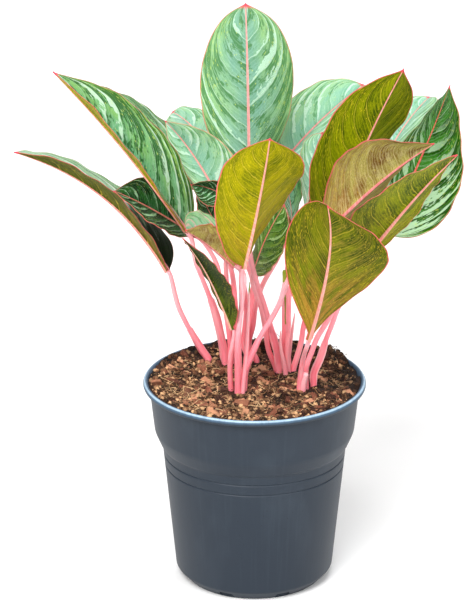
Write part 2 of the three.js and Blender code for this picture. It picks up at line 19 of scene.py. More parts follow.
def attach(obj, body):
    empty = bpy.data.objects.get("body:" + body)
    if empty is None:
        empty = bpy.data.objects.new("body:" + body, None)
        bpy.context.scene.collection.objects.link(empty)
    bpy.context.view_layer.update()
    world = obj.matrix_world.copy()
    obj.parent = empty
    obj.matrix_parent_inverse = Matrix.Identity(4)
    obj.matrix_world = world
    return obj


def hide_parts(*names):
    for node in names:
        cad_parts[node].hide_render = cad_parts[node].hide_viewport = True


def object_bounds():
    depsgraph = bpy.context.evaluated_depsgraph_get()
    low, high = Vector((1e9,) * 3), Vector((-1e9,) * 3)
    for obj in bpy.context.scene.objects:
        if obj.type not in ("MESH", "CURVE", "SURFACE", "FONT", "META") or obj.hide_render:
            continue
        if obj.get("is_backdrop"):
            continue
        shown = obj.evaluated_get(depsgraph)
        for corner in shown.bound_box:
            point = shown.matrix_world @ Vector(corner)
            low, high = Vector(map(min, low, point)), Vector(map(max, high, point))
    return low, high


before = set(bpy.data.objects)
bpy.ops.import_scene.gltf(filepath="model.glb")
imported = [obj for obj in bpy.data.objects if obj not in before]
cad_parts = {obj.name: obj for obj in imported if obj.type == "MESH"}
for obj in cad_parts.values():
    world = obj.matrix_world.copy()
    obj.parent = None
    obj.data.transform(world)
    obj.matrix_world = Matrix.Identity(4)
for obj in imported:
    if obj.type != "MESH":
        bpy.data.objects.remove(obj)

MM = 0.001
BODY = "root"
VEINS = 8.5  # side veins on each half of a blade
FULL_TURN = 6.2832  # radians
LOG = logging.getLogger("evergreen")

Pair = tuple[float, float]
Row = tuple[float, float, float]
Feed = Any  # a wire or a plain value
Feeds = dict[Any, Feed]  # what goes into a node, by the input's name or number


# ---- node trees ---------------------------------------------------------------------------------


def tone(red: float, green: float, blue: float) -> tuple[float, float, float, float]:
    """Turns a display colour of 0 to 255 into a linear one.

    Args:
        red: The red part.
        green: The green part.
        blue: The blue part.

    Returns:
        Linear red, green, blue and an alpha of 1.
    """

    def linear(part: float) -> float:
        """Returns one part on the linear scale."""
        part /= 255
        return part / 12.92 if part <= 0.04045 else ((part + 0.055) / 1.055) ** 2.4

    return linear(red), linear(green), linear(blue), 1.0


class Wire:
    """One output of a node, which adds, subtracts and multiplies like a number."""

    def __init__(self, graph: Graph, socket: bpy.types.NodeSocket) -> None:
        """Holds an output's socket and the tree that it is in."""
        self.graph = graph
        self.socket = socket

    def __add__(self, other: Feed) -> Wire:
        """Returns this + other."""
        return self.graph.math("ADD", self, other)

    def __mul__(self, other: Feed) -> Wire:
        """Returns this * other."""
        return self.graph.math("MULTIPLY", self, other)

    def __sub__(self, other: Feed) -> Wire:
        """Returns this - other."""
        return self.graph.math("SUBTRACT", self, other)

    def __rsub__(self, other: float) -> Wire:
        """Returns other - this."""
        return self.graph.math("SUBTRACT", other, self)


class Graph:
    """A node tree being drawn, with short calls for the nodes that the finishes share."""

    def __init__(self, tree: bpy.types.NodeTree) -> None:
        """Starts on a tree, which it empties."""
        self.tree = tree
        tree.nodes.clear()

    def add(self, kind: str, feeds: Feeds | None = None, **settings: Any) -> bpy.types.Node:
        """Adds a node.

        Args:
            kind: The node's type name.
            feeds: A wire or a value for each input, by name or number.
            settings: The node's own settings.

        Returns:
            The new node.
        """
        node = self.tree.nodes.new(kind)
        for key, value in settings.items():
            setattr(node, key, value)
        for key, value in (feeds or {}).items():
            if isinstance(value, Wire):
                self.tree.links.new(value.socket, node.inputs[key])
            else:
                node.inputs[key].default_value = value
        return node

    def wire(self, kind: str, feeds: Feeds | None = None, output: int | str = 0, **settings: Any) -> Wire:
        """Adds a node as add does, and returns the output with this name or number."""
        return Wire(self, self.add(kind, feeds, **settings).outputs[output])

    def wires(self, kind: str, feeds: Feeds | None = None, **settings: Any) -> dict[str, Wire]:
        """Adds a node as add does, and returns its outputs by name."""
        return {output.name: Wire(self, output) for output in self.add(kind, feeds, **settings).outputs}

    def math(self, operation: str, first: Feed, second: Feed = 0.0) -> Wire:
        """Returns the result of a Math node's operation on one or two numbers."""
        return self.wire("ShaderNodeMath", {0: first, 1: second}, operation=operation)

    def step(self, value: Feed, low: Feed, high: Feed) -> Wire:
        """Returns a soft step of 0 to 1, as a value goes from low to high."""
        feeds = {"Value": value, "From Min": low, "From Max": high}
        return self.wire("ShaderNodeMapRange", feeds, "Result", interpolation_type="SMOOTHSTEP")

    def mix(self, factor: Feed, first: Feed, second: Feed) -> Wire:
        """Returns a colour between the first at a factor of 0 and the second at 1."""
        return self.wire("ShaderNodeMix", {0: factor, 6: first, 7: second}, 2, data_type="RGBA")

    def coats(self, colour: Feed, *coats: tuple[Feed, Row]) -> Wire:
        """Lays coats of colour over each other.

        Args:
            colour: The linear colour underneath.
            coats: How much of each coat shows, from 0 to 1, and its display colour.

        Returns:
            The colour on top.
        """
        for share, row in coats:
            colour = self.mix(share, colour, tone(*row))
        return colour

    def join(self, x: Feed, y: Feed, z: Feed) -> Wire:
        """Returns a vector of three numbers."""
        return self.wire("ShaderNodeCombineXYZ", {0: x, 1: y, 2: z})

    def split(self, vector: Wire) -> tuple[Wire, Wire, Wire]:
        """Returns the three numbers of a vector."""
        parts = self.wires("ShaderNodeSeparateXYZ", {0: vector})
        return parts["X"], parts["Y"], parts["Z"]

    def noise(self, vector: Wire, scale: float, detail: float = 2.0, roughness: float = 0.5) -> Wire:
        """Returns clouds of 0 to 1: their fineness, and the number and strength of their finer layers."""
        feeds = {"Vector": vector, "Scale": scale, "Detail": detail, "Roughness": roughness}
        return self.wire("ShaderNodeTexNoise", feeds)

    def grains(self, vector: Wire) -> tuple[Wire, Wire]:
        """Returns how far the nearest of many scattered grains is, and that grain's own random colour."""
        cells = self.wires("ShaderNodeTexVoronoi", {"Vector": vector, "Scale": 1.0})
        return cells["Distance"], cells["Color"]

    def draw(self, number: Wire) -> Wire:
        """Returns a random value of 0 to 1 that is the same wherever the number is the same."""
        return self.wire("ShaderNodeTexWhiteNoise", {"W": number}, "Value", noise_dimensions="1D")

    def place(self) -> Wire:
        """Returns the place on the object, in metres."""
        return self.wire("ShaderNodeTexCoord", output="Object")

    def attribute(self, name: str, output: str = "Vector") -> Wire:
        """Returns the vector that a mesh attribute holds, or with "Fac" its number."""
        return self.wire("ShaderNodeAttribute", output=output, attribute_name=name)

    def relief(self, height: Wire, distance: float) -> Wire:
        """Returns a surface direction roughened by a height that stands out so many millimetres at 1."""
        feeds = {"Strength": 1.0, "Distance": distance * MM, "Height": height}
        return self.wire("ShaderNodeBump", feeds, "Normal")


# ---- finishes -----------------------------------------------------------------------------------


@dataclass(frozen=True)
class Finish:
    """The look of one kind of surface."""

    name: str

    def material(self) -> bpy.types.Material:
        """Makes the finish's material, or finds it where it is made already.

        Returns:
            The material.
        """
        found = bpy.data.materials.get(self.name)
        if found is not None:
            return found
        made = bpy.data.materials.new(self.name)
        made.use_nodes = True
        graph = Graph(made.node_tree)
        shader = graph.wire("ShaderNodeBsdfPrincipled", self.dress(graph))
        graph.add("ShaderNodeOutputMaterial", {"Surface": shader})
        return made

    def dress(self, g: Graph) -> dict[str, Feed]:
        """Draws the finish's nodes in a tree, and returns what each input of the surface shader takes."""
        raise NotImplementedError


def glow(weight: float, radius: Row, scale: float) -> dict[str, Feed]:
    """Returns the shader's inputs for light that goes in and comes out: its share and how far it goes."""
    return {"Subsurface Weight": weight, "Subsurface Radius": radius, "Subsurface Scale": scale}


@dataclass(frozen=True)
class Comb:
    """What the marks on a blade are drawn from."""

    vein: Wire  # the place along the blade, slanted as the side veins are
    out: Wire  # 0 on the midrib, 1 on the margin
    side: Wire  # a number for each half
    rib: Wire  # millimetres from the midrib, counted larger on a small blade
    edge: Wire  # millimetres from the margin
    along: Wire  # 0 at the foot, 1 at the tip
    saw: Wire  # 0 to 1 from one side vein to the next
    own: Wire  # a random number for each gap between veins
    streak: Wire  # noises combed along the veins, each with its own marks
    fine: Wire
    cloud: Wire
    patch: Wire
    tatter: Wire
    line: Wire  # 1 on a side vein
    thin: Wire  # 1 on the finer veins between them


@dataclass(frozen=True)
class BladeFinish(Finish):
    """What both sides of a blade share: the run of the side veins and the marks along them."""

    rib: Row = (246, 152, 152)
    rib_light: Row = (255, 214, 206)  # the midrib's streaks go halfway to it
    rim: Row = (226, 140, 124)
    rim_share: float = 0.6
    tip: Row = (232, 76, 92)

    def comb(self, g: Graph) -> Comb:
        """Draws the values that follow the side veins.

        Args:
            g: The material's tree.

        Returns:
            The values.
        """
        vein, out, side = g.split(g.attribute("blade"))
        rib, edge, along = g.split(g.attribute("reach"))

        def marks(length: float, width: float, shift: float, detail: float = 3.0) -> Wire:
            """Returns a noise with so many marks in the blade's length and its half-width."""
            return g.noise(g.join(vein * length, out * width, side + shift), 1.0, detail, 0.62)

        def ridge(phase: Wire, low: float, high: float) -> Wire:
            """Returns a thin line wherever a phase is whole, fading out towards the margin."""
            near = 1.0 - g.step(g.math("PINGPONG", phase, 0.5), low, high)
            return near * (1.0 - g.step(out, 0.70, 0.95))

        phase = vein * VEINS + (marks(5, 1.3, 0.0) - 0.5) * 0.9 + side
        return Comb(
            vein, out, side, rib, edge, along,
            saw=g.math("FRACT", phase),
            own=g.draw(g.math("FLOOR", phase) + side * 3.7),
            streak=marks(56, 3.4, 1.1, 5.0),
            fine=marks(170, 34, 2.3, 2.0),
            cloud=marks(5, 2.0, 9.3),
            patch=marks(13, 3.2, 6.1),
            tatter=marks(44, 12, 4.4),
            line=ridge(phase, 0.012, 0.040),
            thin=ridge(phase * 5.0, 0.05, 0.22),
        )

    def specks(self, g: Graph, of: Comb, scale: float, least: float, most: float) -> Wire:
        """Draws small dots that crowd towards the margin.

        Args:
            g: The material's tree.
            of: The values that follow the side veins.
            scale: How close the dots lie.
            least: The share of dots that show by the midrib.
            most: How many more show by the margin.

        Returns:
            The dots, from 0 to 1.
        """
        dots, hue = g.grains(g.join(of.vein * scale, of.out * (0.27 * scale), of.side))
        chance = g.split(hue)[0]
        crowd = (g.step(of.out, 0.35, 1.0) + (of.patch - 0.5)) * most + least
        return (1.0 - g.step(dots, 0.20, 0.42)) * g.step(crowd, chance, chance + 0.02)

    def border(self, g: Graph, of: Comb, colour: Wire) -> Wire:
        """Lays the midrib, the margin's line and the coloured tip over a blade's colour.

        Args:
            g: The material's tree.
            of: The values that follow the side veins.
            colour: The blade's colour.

        Returns:
            The colour on top.
        """
        width = (1.0 - of.along) * 1.35 + 0.40
        spine = 1.0 - g.step(of.rib, width * 0.75, width)
        halfway = tuple((a + b) / 2 for a, b in zip(self.rib, self.rib_light))
        pith = g.coats(tone(*self.rib), (g.step(of.streak, 0.42, 0.66), halfway))
        ragged = of.streak * 0.7 + 0.45
        line = 1.0 - g.step(of.edge, ragged * 0.5, ragged)
        return g.coats(
            g.mix(spine * 0.95, colour, pith),
            (line * self.rim_share, self.rim),
            (g.step(of.along, 0.965, 0.99), self.tip),
        )


@dataclass(frozen=True)
class UpperFinish(BladeFinish):
    """The upper side of a blade: torn pale bands along some side veins, dark green patches between them."""

    base: Row = (118, 166, 144)
    warm: Row = (140, 184, 124)
    pale: Row = (194, 228, 204)
    deep: Row = (66, 122, 66)
    speck: Row = (206, 220, 110)
    # the colour of the painted shade by the blade's foot
    foot_shade_tone: Row = (16, 30, 1)
    bands: float = 0.4  # share of the veins that carry a broad pale band
    width: float = 0.3  # the broadest band, for a gap of 1 between veins
    feather: float = 0.04  # how softly a band ends
    foot: float = 0.0  # how much broader the bands are by the foot
    foot_shade: float = 0.0  # how far painted shade darkens the blade by its foot
    shade: float = 0.66  # the lower, the more dark patches
    gloss: float = 0.17  # how strongly the face mirrors the light around it

    def dress(self, g: Graph) -> dict[str, Feed]:
        """Draws the bands, the patches, the veins, the specks, the midrib and the margin.

        Args:
            g: The material's tree.

        Returns:
            What each input of the shader takes, by name.
        """
        of = self.comb(g)
        # Dark patches gather towards the margin and, as painted shade, towards the far side of each gap
        # between side veins.
        lean = g.step(of.out, 0.30, 0.75) * 0.07 + g.step(of.saw, 0.3, 0.9) * 0.05
        murk = of.patch * 0.6 + (of.tatter * 0.28 + of.streak * 0.34) + lean
        swell = g.step(of.out, 0.0, 0.30) * (1.0 - g.step(of.out, 0.75, 1.0) * 0.5)
        swell = swell * ((0.55 - of.along) * (2 * self.foot) + 1.0)
        ragged = (of.tatter - 0.5) * 3.0 + (of.patch - 0.5) * 4.0
        thick = g.step(of.own, 0.9 - self.bands, 1.0 - self.bands)
        reach = thick * swell * self.width * (ragged + 1.0)
        band = g.step(reach - of.saw, 0.0, self.feather) * g.step(of.saw, 0.0, 0.02)
        fading = 1.0 - g.step(of.along, 0.40, 0.85) * min(1.0, self.foot)
        # Painted shade: the blade darkens towards its foot, where it lies in shadow.
        foot_shade = 1.0 - g.step(of.along + (of.patch - 0.5) * 0.5, 0.20, 0.46)
        colour = g.coats(
            tone(*self.base),
            (g.step(of.out * 0.5 + of.cloud, 0.5, 1.0), self.warm),
            # Painted shade: darker over the far side of each gap between side veins, as if the blade swelled
            # between them.
            (g.step(of.saw, 0.45, 1.0) * 0.28, self.deep),
            (g.step(of.streak, 0.50, 0.70) * 0.30, self.pale),
            (g.step(murk, self.shade, self.shade + 0.05) * 0.85, self.deep),
            (band * ((of.fine * 0.6 + 0.55) * fading), self.pale),
            (of.thin * 0.12, self.pale),
            (of.line * (of.own * 0.6 + 0.15), self.pale),
            (g.step(of.fine, 0.48, 0.66) * 0.22, self.deep),
            (self.specks(g, of, 84.0, 0.04, 0.45) * 0.65, self.speck),
            (foot_shade * self.foot_shade, self.foot_shade_tone),
        )
        return {
            "Base Color": self.border(g, of, colour),
            "Roughness": of.fine * 0.14 + band * 0.06 + 0.34,
            "Normal": g.relief(of.fine * 0.25 + (of.streak * 0.7 - of.line * 0.5), 0.22),
            "Specular IOR Level": self.gloss,
            **glow(0.08, (0.6, 1.0, 0.3), 0.002),
        }


@dataclass(frozen=True)
class UnderFinish(BladeFinish):
    """The under side of a blade: olive with golden specks, combed along the side veins."""

    base: Row = (146, 142, 2)
    light: Row = (200, 188, 44)
    deep: Row = (92, 98, 2)
    rib: Row = (250, 152, 142)
    rim: Row = (222, 92, 98)
    rim_share: float = 0.9
    vein: Row = (214, 188, 64)
    speck: Row = (224, 196, 44)
    murk: float = 0.52  # the lower, the more dark clouds
    foot: Row = (180, 122, 50)
    flush: float = 0.4  # how far the blade takes that colour by its foot
    gleam: float = 0.55  # how strongly the light streaks show

    def dress(self, g: Graph) -> dict[str, Feed]:
        """Draws the combed olive, the specks, the midrib and the margin.

        Args:
            g: The material's tree.

        Returns:
            What each input of the shader takes, by name.
        """
        of = self.comb(g)
        cloud = of.cloud * 0.62 + of.patch * 0.38
        flush = (1.0 - g.step(of.along, 0.1, 0.55)) * g.step(of.patch, 0.36, 0.56)
        lit = of.patch * 0.45 + (of.streak * 0.45 + of.tatter * 0.2)
        # Painted shade: a dark groove just past each side vein.
        vein_groove_shade = g.step(of.saw, 0.0, 0.10) * (1.0 - g.step(of.saw, 0.10, 0.55))
        colour = g.coats(
            tone(*self.base),
            (g.step(cloud, self.murk - 0.09, self.murk + 0.07), self.deep),
            (flush * self.flush, self.foot),
            (g.step(of.out + (of.patch - 0.5) * 1.2, 0.55, 1.0) * 0.4, self.deep),
            (g.step(lit, 0.53, 0.70) * self.gleam, self.light),
            (vein_groove_shade * (of.patch * 0.5 + 0.12), self.deep),
            (g.step(1.0 - of.streak, 0.53, 0.68) * 0.3, self.deep),
            (g.step(of.fine, 0.48, 0.62) * 0.35, self.deep),
            (g.step(1.0 - of.fine, 0.52, 0.66) * 0.2, self.light),
            (of.thin * (of.patch * 0.5), self.light),
            (of.line * (of.own * 0.5 + 0.12), self.vein),
            (self.specks(g, of, 110.0, 0.05, 0.62) * 0.65, self.speck),
        )
        return {
            "Base Color": self.border(g, of, colour),
            "Roughness": of.fine * 0.18 + 0.46,
            "Normal": g.relief(of.fine * 0.35 + (of.streak * 0.6 + of.line * 0.7), 0.26),
            "Specular IOR Level": 0.07,
            **glow(0.08, (0.9, 0.8, 0.2), 0.002),
        }


class Upper(Enum):
    """The upper sides that the plant's blades show."""

    CROWN = UpperFinish("leaf_upper_crown")
    MINT = UpperFinish(
        "leaf_upper_mint", base=(124, 178, 146), warm=(124, 176, 106), deep=(40, 98, 36),
        shade=0.64,
    )
    SILVER = UpperFinish(
        "leaf_upper_silver", base=(142, 194, 172), warm=(160, 206, 156), deep=(88, 148, 96),
        pale=(208, 238, 218), bands=0.5, shade=0.70,
    )
    GREEN = UpperFinish(
        "leaf_upper_green", base=(108, 170, 122), warm=(134, 182, 88), deep=(20, 80, 16),
        pale=(204, 234, 206), bands=0.70, width=0.40, feather=0.20, shade=0.62, gloss=0.10,
    )
    DEEP = UpperFinish(
        "leaf_upper_deep", base=(60, 128, 38), warm=(56, 112, 12), deep=(24, 68, 4),
        pale=(194, 232, 190), rib=(228, 84, 74), bands=0.95, width=0.46, feather=0.24,
        foot=0.9, shade=0.64, gloss=0.05,
    )
    FERN = UpperFinish(
        "leaf_upper_fern", base=(78, 128, 40), warm=(116, 142, 34), deep=(28, 70, 8),
        pale=(178, 210, 136), rib=(236, 110, 96), bands=0.6, width=0.34, feather=0.2, shade=0.63,
    )
    # Painted shade: a pale upper side that turns near-black by its foot, where the blade lies in shadow.
    SHADED_FOOT = UpperFinish(
        "leaf_upper_shaded_foot", base=(168, 208, 186), warm=(164, 204, 156), deep=(90, 142, 94),
        pale=(230, 246, 234), bands=0.5, shade=0.70, foot_shade=1.0, gloss=0.03,
    )
    # The darkest upper side: a deep green, darkened further as painted shade for blades that lie in shadow.
    NIGHT = UpperFinish(
        "leaf_upper_night", base=(38, 98, 46), warm=(36, 92, 18), deep=(6, 30, 4),
        pale=(176, 222, 180), rib=(226, 126, 112), bands=0.7, width=0.26, feather=0.14,
        shade=0.61, gloss=0.06,
    )
    BLUSH = UpperFinish(
        "leaf_upper_blush", base=(150, 206, 168), warm=(170, 214, 160), deep=(96, 166, 112),
        pale=(252, 190, 192), rib=(252, 120, 132), bands=0.6, width=0.4, shade=0.70,
    )


class Under(Enum):
    """The under sides that the plant's blades show."""

    GOLD = UnderFinish(
        "leaf_under_gold", base=(148, 142, 1), light=(200, 184, 20), deep=(90, 98, 1), murk=0.54,
    )
    LIME = UnderFinish(
        "leaf_under_lime", base=(126, 134, 1), light=(182, 180, 14), deep=(48, 70, 1), flush=0.2,
    )
    OLIVE = UnderFinish(
        "leaf_under_olive", base=(112, 118, 6), light=(174, 150, 52), deep=(42, 64, 1),
        vein=(176, 158, 44), flush=0.8, gleam=0.46,
    )
    MOSS = UnderFinish(
        "leaf_under_moss", base=(80, 86, 8), light=(138, 134, 50), deep=(40, 54, 2), flush=0.3,
    )
    BROWN = UnderFinish(
        "leaf_under_brown", base=(190, 174, 92), light=(240, 224, 160), deep=(118, 78, 34),
        rib=(250, 130, 136), vein=(222, 196, 146), murk=0.55, flush=0.8,
    )
    # Painted shade: a darkened copy of the under side for blades that lie in shadow, turning olive by the
    # foot.
    SHADE = UnderFinish(
        "leaf_under_shade", base=(30, 50, 1), light=(78, 92, 8), deep=(14, 26, 1),
        rib=(222, 160, 136), vein=(80, 96, 20), foot=(98, 110, 34), flush=0.9,
    )


@dataclass(frozen=True)
class StalkFinish(Finish):
    """The pink leaf stalks: coral low down, lighter above, with fine streaks along them."""

    low: Row = (255, 136, 150)
    high: Row = (255, 172, 180)
    streak: Row = (236, 70, 94)
    sheath: Row = (255, 208, 208)
    fleck: Row = (255, 208, 204)
    green: Row = (136, 146, 24)

    def dress(self, g: Graph) -> dict[str, Feed]:
        """Draws the pinks along and round the stalk.

        Args:
            g: The material's tree.

        Returns:
            What each input of the shader takes, by name.
        """
        along, around, seed = g.split(g.attribute("stalk"))
        lines = g.noise(g.join(along * 5, around * 7, seed), 1.0, 4.0, 0.65)
        fine = g.noise(g.join(along * 26, around * 26, seed), 1.0, 2.0, 0.6)
        cloud = g.noise(g.join(along * 3, around * 0.8, seed + 3.0), 1.0)
        colour = g.coats(
            tone(*self.low),
            (g.step(along + (cloud - 0.5) * 0.5, 0.1, 0.8), self.high),
            (g.step(lines, 0.52, 0.72) * 0.6, self.streak),
            (g.step(cloud, 0.5, 0.75) * 0.4, self.sheath),
            (g.attribute("wing", "Fac") * 0.5, self.sheath),
            (g.step(fine, 0.6, 0.75) * 0.2, self.fleck),
            (g.step(g.attribute("leafy", "Fac") + lines * 0.3, 0.5, 0.75), self.green),
        )
        return {
            "Base Color": colour,
            "Roughness": lines * 0.16 + 0.32,
            "Normal": g.relief(lines + fine * 0.4, 0.22),
            "Specular IOR Level": 0.45,
            **glow(0.25, (1.0, 0.35, 0.3), 0.003),
        }


@dataclass(frozen=True)
class PotFinish(Finish):
    """Slate-grey moulded plastic with faint drawn streaks, pits and dusty clouds, lighter towards the top as
    painted light, with a painted reflection and a painted highlight on the rim.
    """

    base: Row = (34, 43, 54)
    # the colour of the dusty clouds and drawn streaks, and of the painted light towards the top
    dust_and_light: Row = (64, 74, 84)
    pit: Row = (26, 30, 36)
    grain: Row = (28, 34, 42)
    # painted reflection: the blue-grey band over the rolled rim
    rim: Row = (70, 96, 120)
    # painted highlight: the pale line along the rim's outer crest
    crest: Row = (176, 204, 226)
    rim_z: Pair = (0.1566, 0.1588)  # heights between which the rim's painted reflection comes in
    crest_in: Pair = (0.0830, 0.0836)  # radii between which the painted highlight ring comes in
    crest_out: Pair = (0.0843, 0.0848)  # and between which it ends

    def dress(self, g: Graph) -> dict[str, Feed]:
        """Draws the plastic.

        Args:
            g: The material's tree.

        Returns:
            What each input of the shader takes, by name.
        """
        place = g.place()
        x, y, z = g.split(place)
        turn = g.math("ARCTAN2", y, x)
        out = g.math("SQRT", x * x + y * y)
        drawn = g.noise(g.join(turn * 26, z * 9, 0.0), 1.0, 3.0, 0.6)
        cloud = g.noise(g.join(turn * 2.4, z * 16, 1.7), 1.0, 3.0, 0.55)
        grain = g.noise(place, 1400.0, 2.0, 0.6)
        dots, hue = g.grains(g.join(turn * 22, z * 240, 0.0))
        chance = g.split(hue)[1]
        middle = g.step(z, 0.012, 0.04) * (1.0 - g.step(z, 0.085, 0.105))
        pit = (1.0 - g.step(dots, 0.05, 0.16)) * g.step(0.34, chance, chance + 0.02) * middle
        # Dusty clouds and an even coat, both stronger towards the top: partly real grime, partly painted
        # light from above.
        dust_and_light_by_height = g.step(z, 0.02, 0.15) * 0.65 + 0.35
        # Painted reflection over the rolled rim, and a painted highlight along its outer crest.
        rolled = g.step(z, *self.rim_z)
        crest_highlight = g.step(out, *self.crest_in) * (1.0 - g.step(out, *self.crest_out))
        colour = g.coats(
            tone(*self.base),
            ((g.step(cloud, 0.42, 0.72) + 0.35) * (dust_and_light_by_height * 0.4), self.dust_and_light),
            (g.step(drawn, 0.5, 0.75) * 0.16, self.dust_and_light),
            (pit * 0.6, self.pit),
            (g.step(grain, 0.52, 0.72) * 0.2, self.grain),
            (rolled * (drawn * 0.8 + 0.5), self.rim),
            (crest_highlight * rolled * (drawn * 0.8 + 0.4), self.crest),
        )
        return {
            "Base Color": colour,
            "Roughness": cloud * 0.14 + drawn * 0.10 + 0.36,
            "Normal": g.relief(grain * 0.5 + (drawn * 0.5 - pit * 0.8), 0.06),
            "Specular IOR Level": 0.26,
        }


@dataclass(frozen=True)
class EarthFinish(Finish):
    """Peat, bark or fibre: a main colour, a lighter and a darker one, and a rough grain."""

    base: Row = (60, 35, 24)
    light: Row = (112, 74, 50)
    deep: Row = (18, 11, 8)
    grain: float = 900.0
    relief: float = 0.8

    def dress(self, g: Graph) -> dict[str, Feed]:
        """Draws the earth, with painted shade towards the back right and painted light towards the front
        left.

        Args:
            g: The material's tree.

        Returns:
            What each input of the shader takes, by name.
        """
        place = g.place()
        x, y, _ = g.split(place)
        tint = g.attribute("tint", "Fac")
        coarse = g.noise(place, self.grain * 0.3, 4.0, 0.6)
        fine = g.noise(place, self.grain, 4.0, 0.7)
        # Painted shade towards the back right and painted light towards the front left, edged with noise.
        shadow_side = x * 5.0 + y * 7.0 + (g.noise(place, 45.0) - 0.5) * 2.2
        colour = g.coats(
            tone(*self.deep),
            (g.step(tint, 0.18, 0.58), self.base),
            (g.step(tint, 0.60, 0.95), self.light),
            (g.step(fine, 0.5, 0.72) * 0.45, self.light),
            (g.step(coarse, 0.5, 0.7) * 0.7, self.deep),
            (g.step(shadow_side, -0.15, 0.45) * 0.72, self.deep),
            ((1.0 - g.step(shadow_side, -0.7, 0.0)) * (tint * 0.5), self.light),
        )
        return {
            "Base Color": colour,
            "Roughness": fine * 0.24 + 0.72,
            "Normal": g.relief(fine + coarse, self.relief),
            "Specular IOR Level": 0.25,
        }


@dataclass(frozen=True)
class FloorFinish(Finish):
    """The pale studio floor."""

    base: Row = (250, 250, 250)
    cloud: Row = (240, 240, 242)

    def dress(self, g: Graph) -> dict[str, Feed]:
        """Draws the floor and returns what each input of the shader takes."""
        share = g.noise(g.place(), 3.0) * 0.1
        return {"Base Color": g.coats(tone(*self.base), (share, self.cloud)), "Roughness": 0.9}


STALK = StalkFinish("stalk_pink")
POT_PLASTIC = PotFinish("pot_plastic_slate")
PEAT = EarthFinish("soil_peat")
CRUMB = EarthFinish("soil_crumb", (108, 68, 46), (232, 184, 136), (20, 10, 6), grain=1500.0, relief=0.4)
BARK = EarthFinish("bark_chip", (126, 72, 54), (212, 154, 118), (46, 22, 16), grain=800.0, relief=0.5)
FIBRE = EarthFinish("coir_fibre", (160, 114, 74), (246, 206, 156), (62, 36, 24), grain=1800.0, relief=0.1)


# ---- meshes -------------------------------------------------------------------------------------


def keep(name: str, mesh: bpy.types.Mesh) -> bpy.types.Object:
    """Puts a mesh in the scene as an object at the origin.

    Args:
        name: The piece's name.
        mesh: Its mesh.

    Returns:
        The new object.
    """
    made = bpy.data.objects.new(name, mesh)
    bpy.context.scene.collection.objects.link(made)
    return made


def mesh_of(name: str, points: np.ndarray, faces: Sequence[Sequence[int]]) -> bpy.types.Mesh:
    """Makes a smooth mesh, its faces turned outwards.

    Args:
        name: The mesh's name.
        points: Its corners in millimetres.
        faces: The corners of each face.

    Returns:
        The mesh, in metres.
    """
    made = bpy.data.meshes.new(name)
    made.from_pydata((np.asarray(points) * MM).tolist(), [], [list(face) for face in faces])
    if volume(made) < 0:
        made.flip_normals()
    made.polygons.foreach_set("use_smooth", [True] * len(made.polygons))
    made.validate()
    return made


def volume(mesh: bpy.types.Mesh) -> float:
    """Measures a closed mesh, to tell whether its faces point outwards.

    Args:
        mesh: The mesh.

    Returns:
        Six times its volume, below 0 where they point inwards.
    """
    mesh.calc_loop_triangles()
    corners = np.array([vertex.co for vertex in mesh.vertices])
    triangles = np.array([triangle.vertices for triangle in mesh.loop_triangles])
    a, b, c = (corners[triangles[:, k]] for k in range(3))
    return float(np.einsum("ij,ij->i", a, np.cross(b, c)).sum())


def loft(rings: Sequence[np.ndarray]) -> tuple[np.ndarray, list[list[int]]]:
    """Joins closed rings with equal numbers of points into a closed body.

    Args:
        rings: The rings, one after another.

    Returns:
        The points and the faces.
    """
    count = len(rings[0])
    faces: list[list[int]] = []
    for i in range(len(rings) - 1):
        a, b = i * count, (i + 1) * count
        for j in range(count):
            k = (j + 1) % count
            faces.append([a + j, a + k, b + k, b + j])
    last = (len(rings) - 1) * count
    faces.append(list(range(count))[::-1])
    faces.append(list(range(last, last + count)))
    return np.concatenate(rings), faces


def spun(rings: Sequence[np.ndarray], start: float, end: float) -> tuple[np.ndarray, list[list[int]]]:
    """Joins rings round the axis into a body with a middle point at each end.

    Args:
        rings: The rings, one after another.
        start: The height of the middle point before the first ring.
        end: The height of the middle point after the last ring.

    Returns:
        The points and the faces.
    """
    points, faces = loft(rings)
    count = len(rings[0])
    last, near, far = len(points) - count, len(points), len(points) + 1
    faces = faces[:-2]
    for j in range(count):
        k = (j + 1) % count
        faces += [[near, k, j], [far, last + j, last + k]]
    return np.vstack([points, [0, 0, start], [0, 0, end]]), faces


def circle(count: int, radius: float, height: float, middle: Pair = (0.0, 0.0)) -> np.ndarray:
    """Returns the points of a level circle.

    Args:
        count: How many points it has.
        radius: Its radius.
        height: Its height.
        middle: The place of its middle.

    Returns:
        The points, one a row.
    """
    angles = np.linspace(0, 2 * math.pi, count, endpoint=False)
    x, y = middle
    return np.column_stack([x + radius * np.cos(angles), y + radius * np.sin(angles), np.full(count, height)])


def store(mesh: bpy.types.Mesh, name: str, values: np.ndarray) -> None:
    """Keeps a number or a vector at each point of a mesh.

    Args:
        mesh: The mesh.
        name: The attribute's name.
        values: One number or one row of three for each point.
    """
    values = np.asarray(values, dtype=np.float32)
    kind, key = ("FLOAT", "value") if values.ndim == 1 else ("FLOAT_VECTOR", "vector")
    mesh.attributes.new(name, kind, "POINT").data.foreach_set(key, values.ravel())


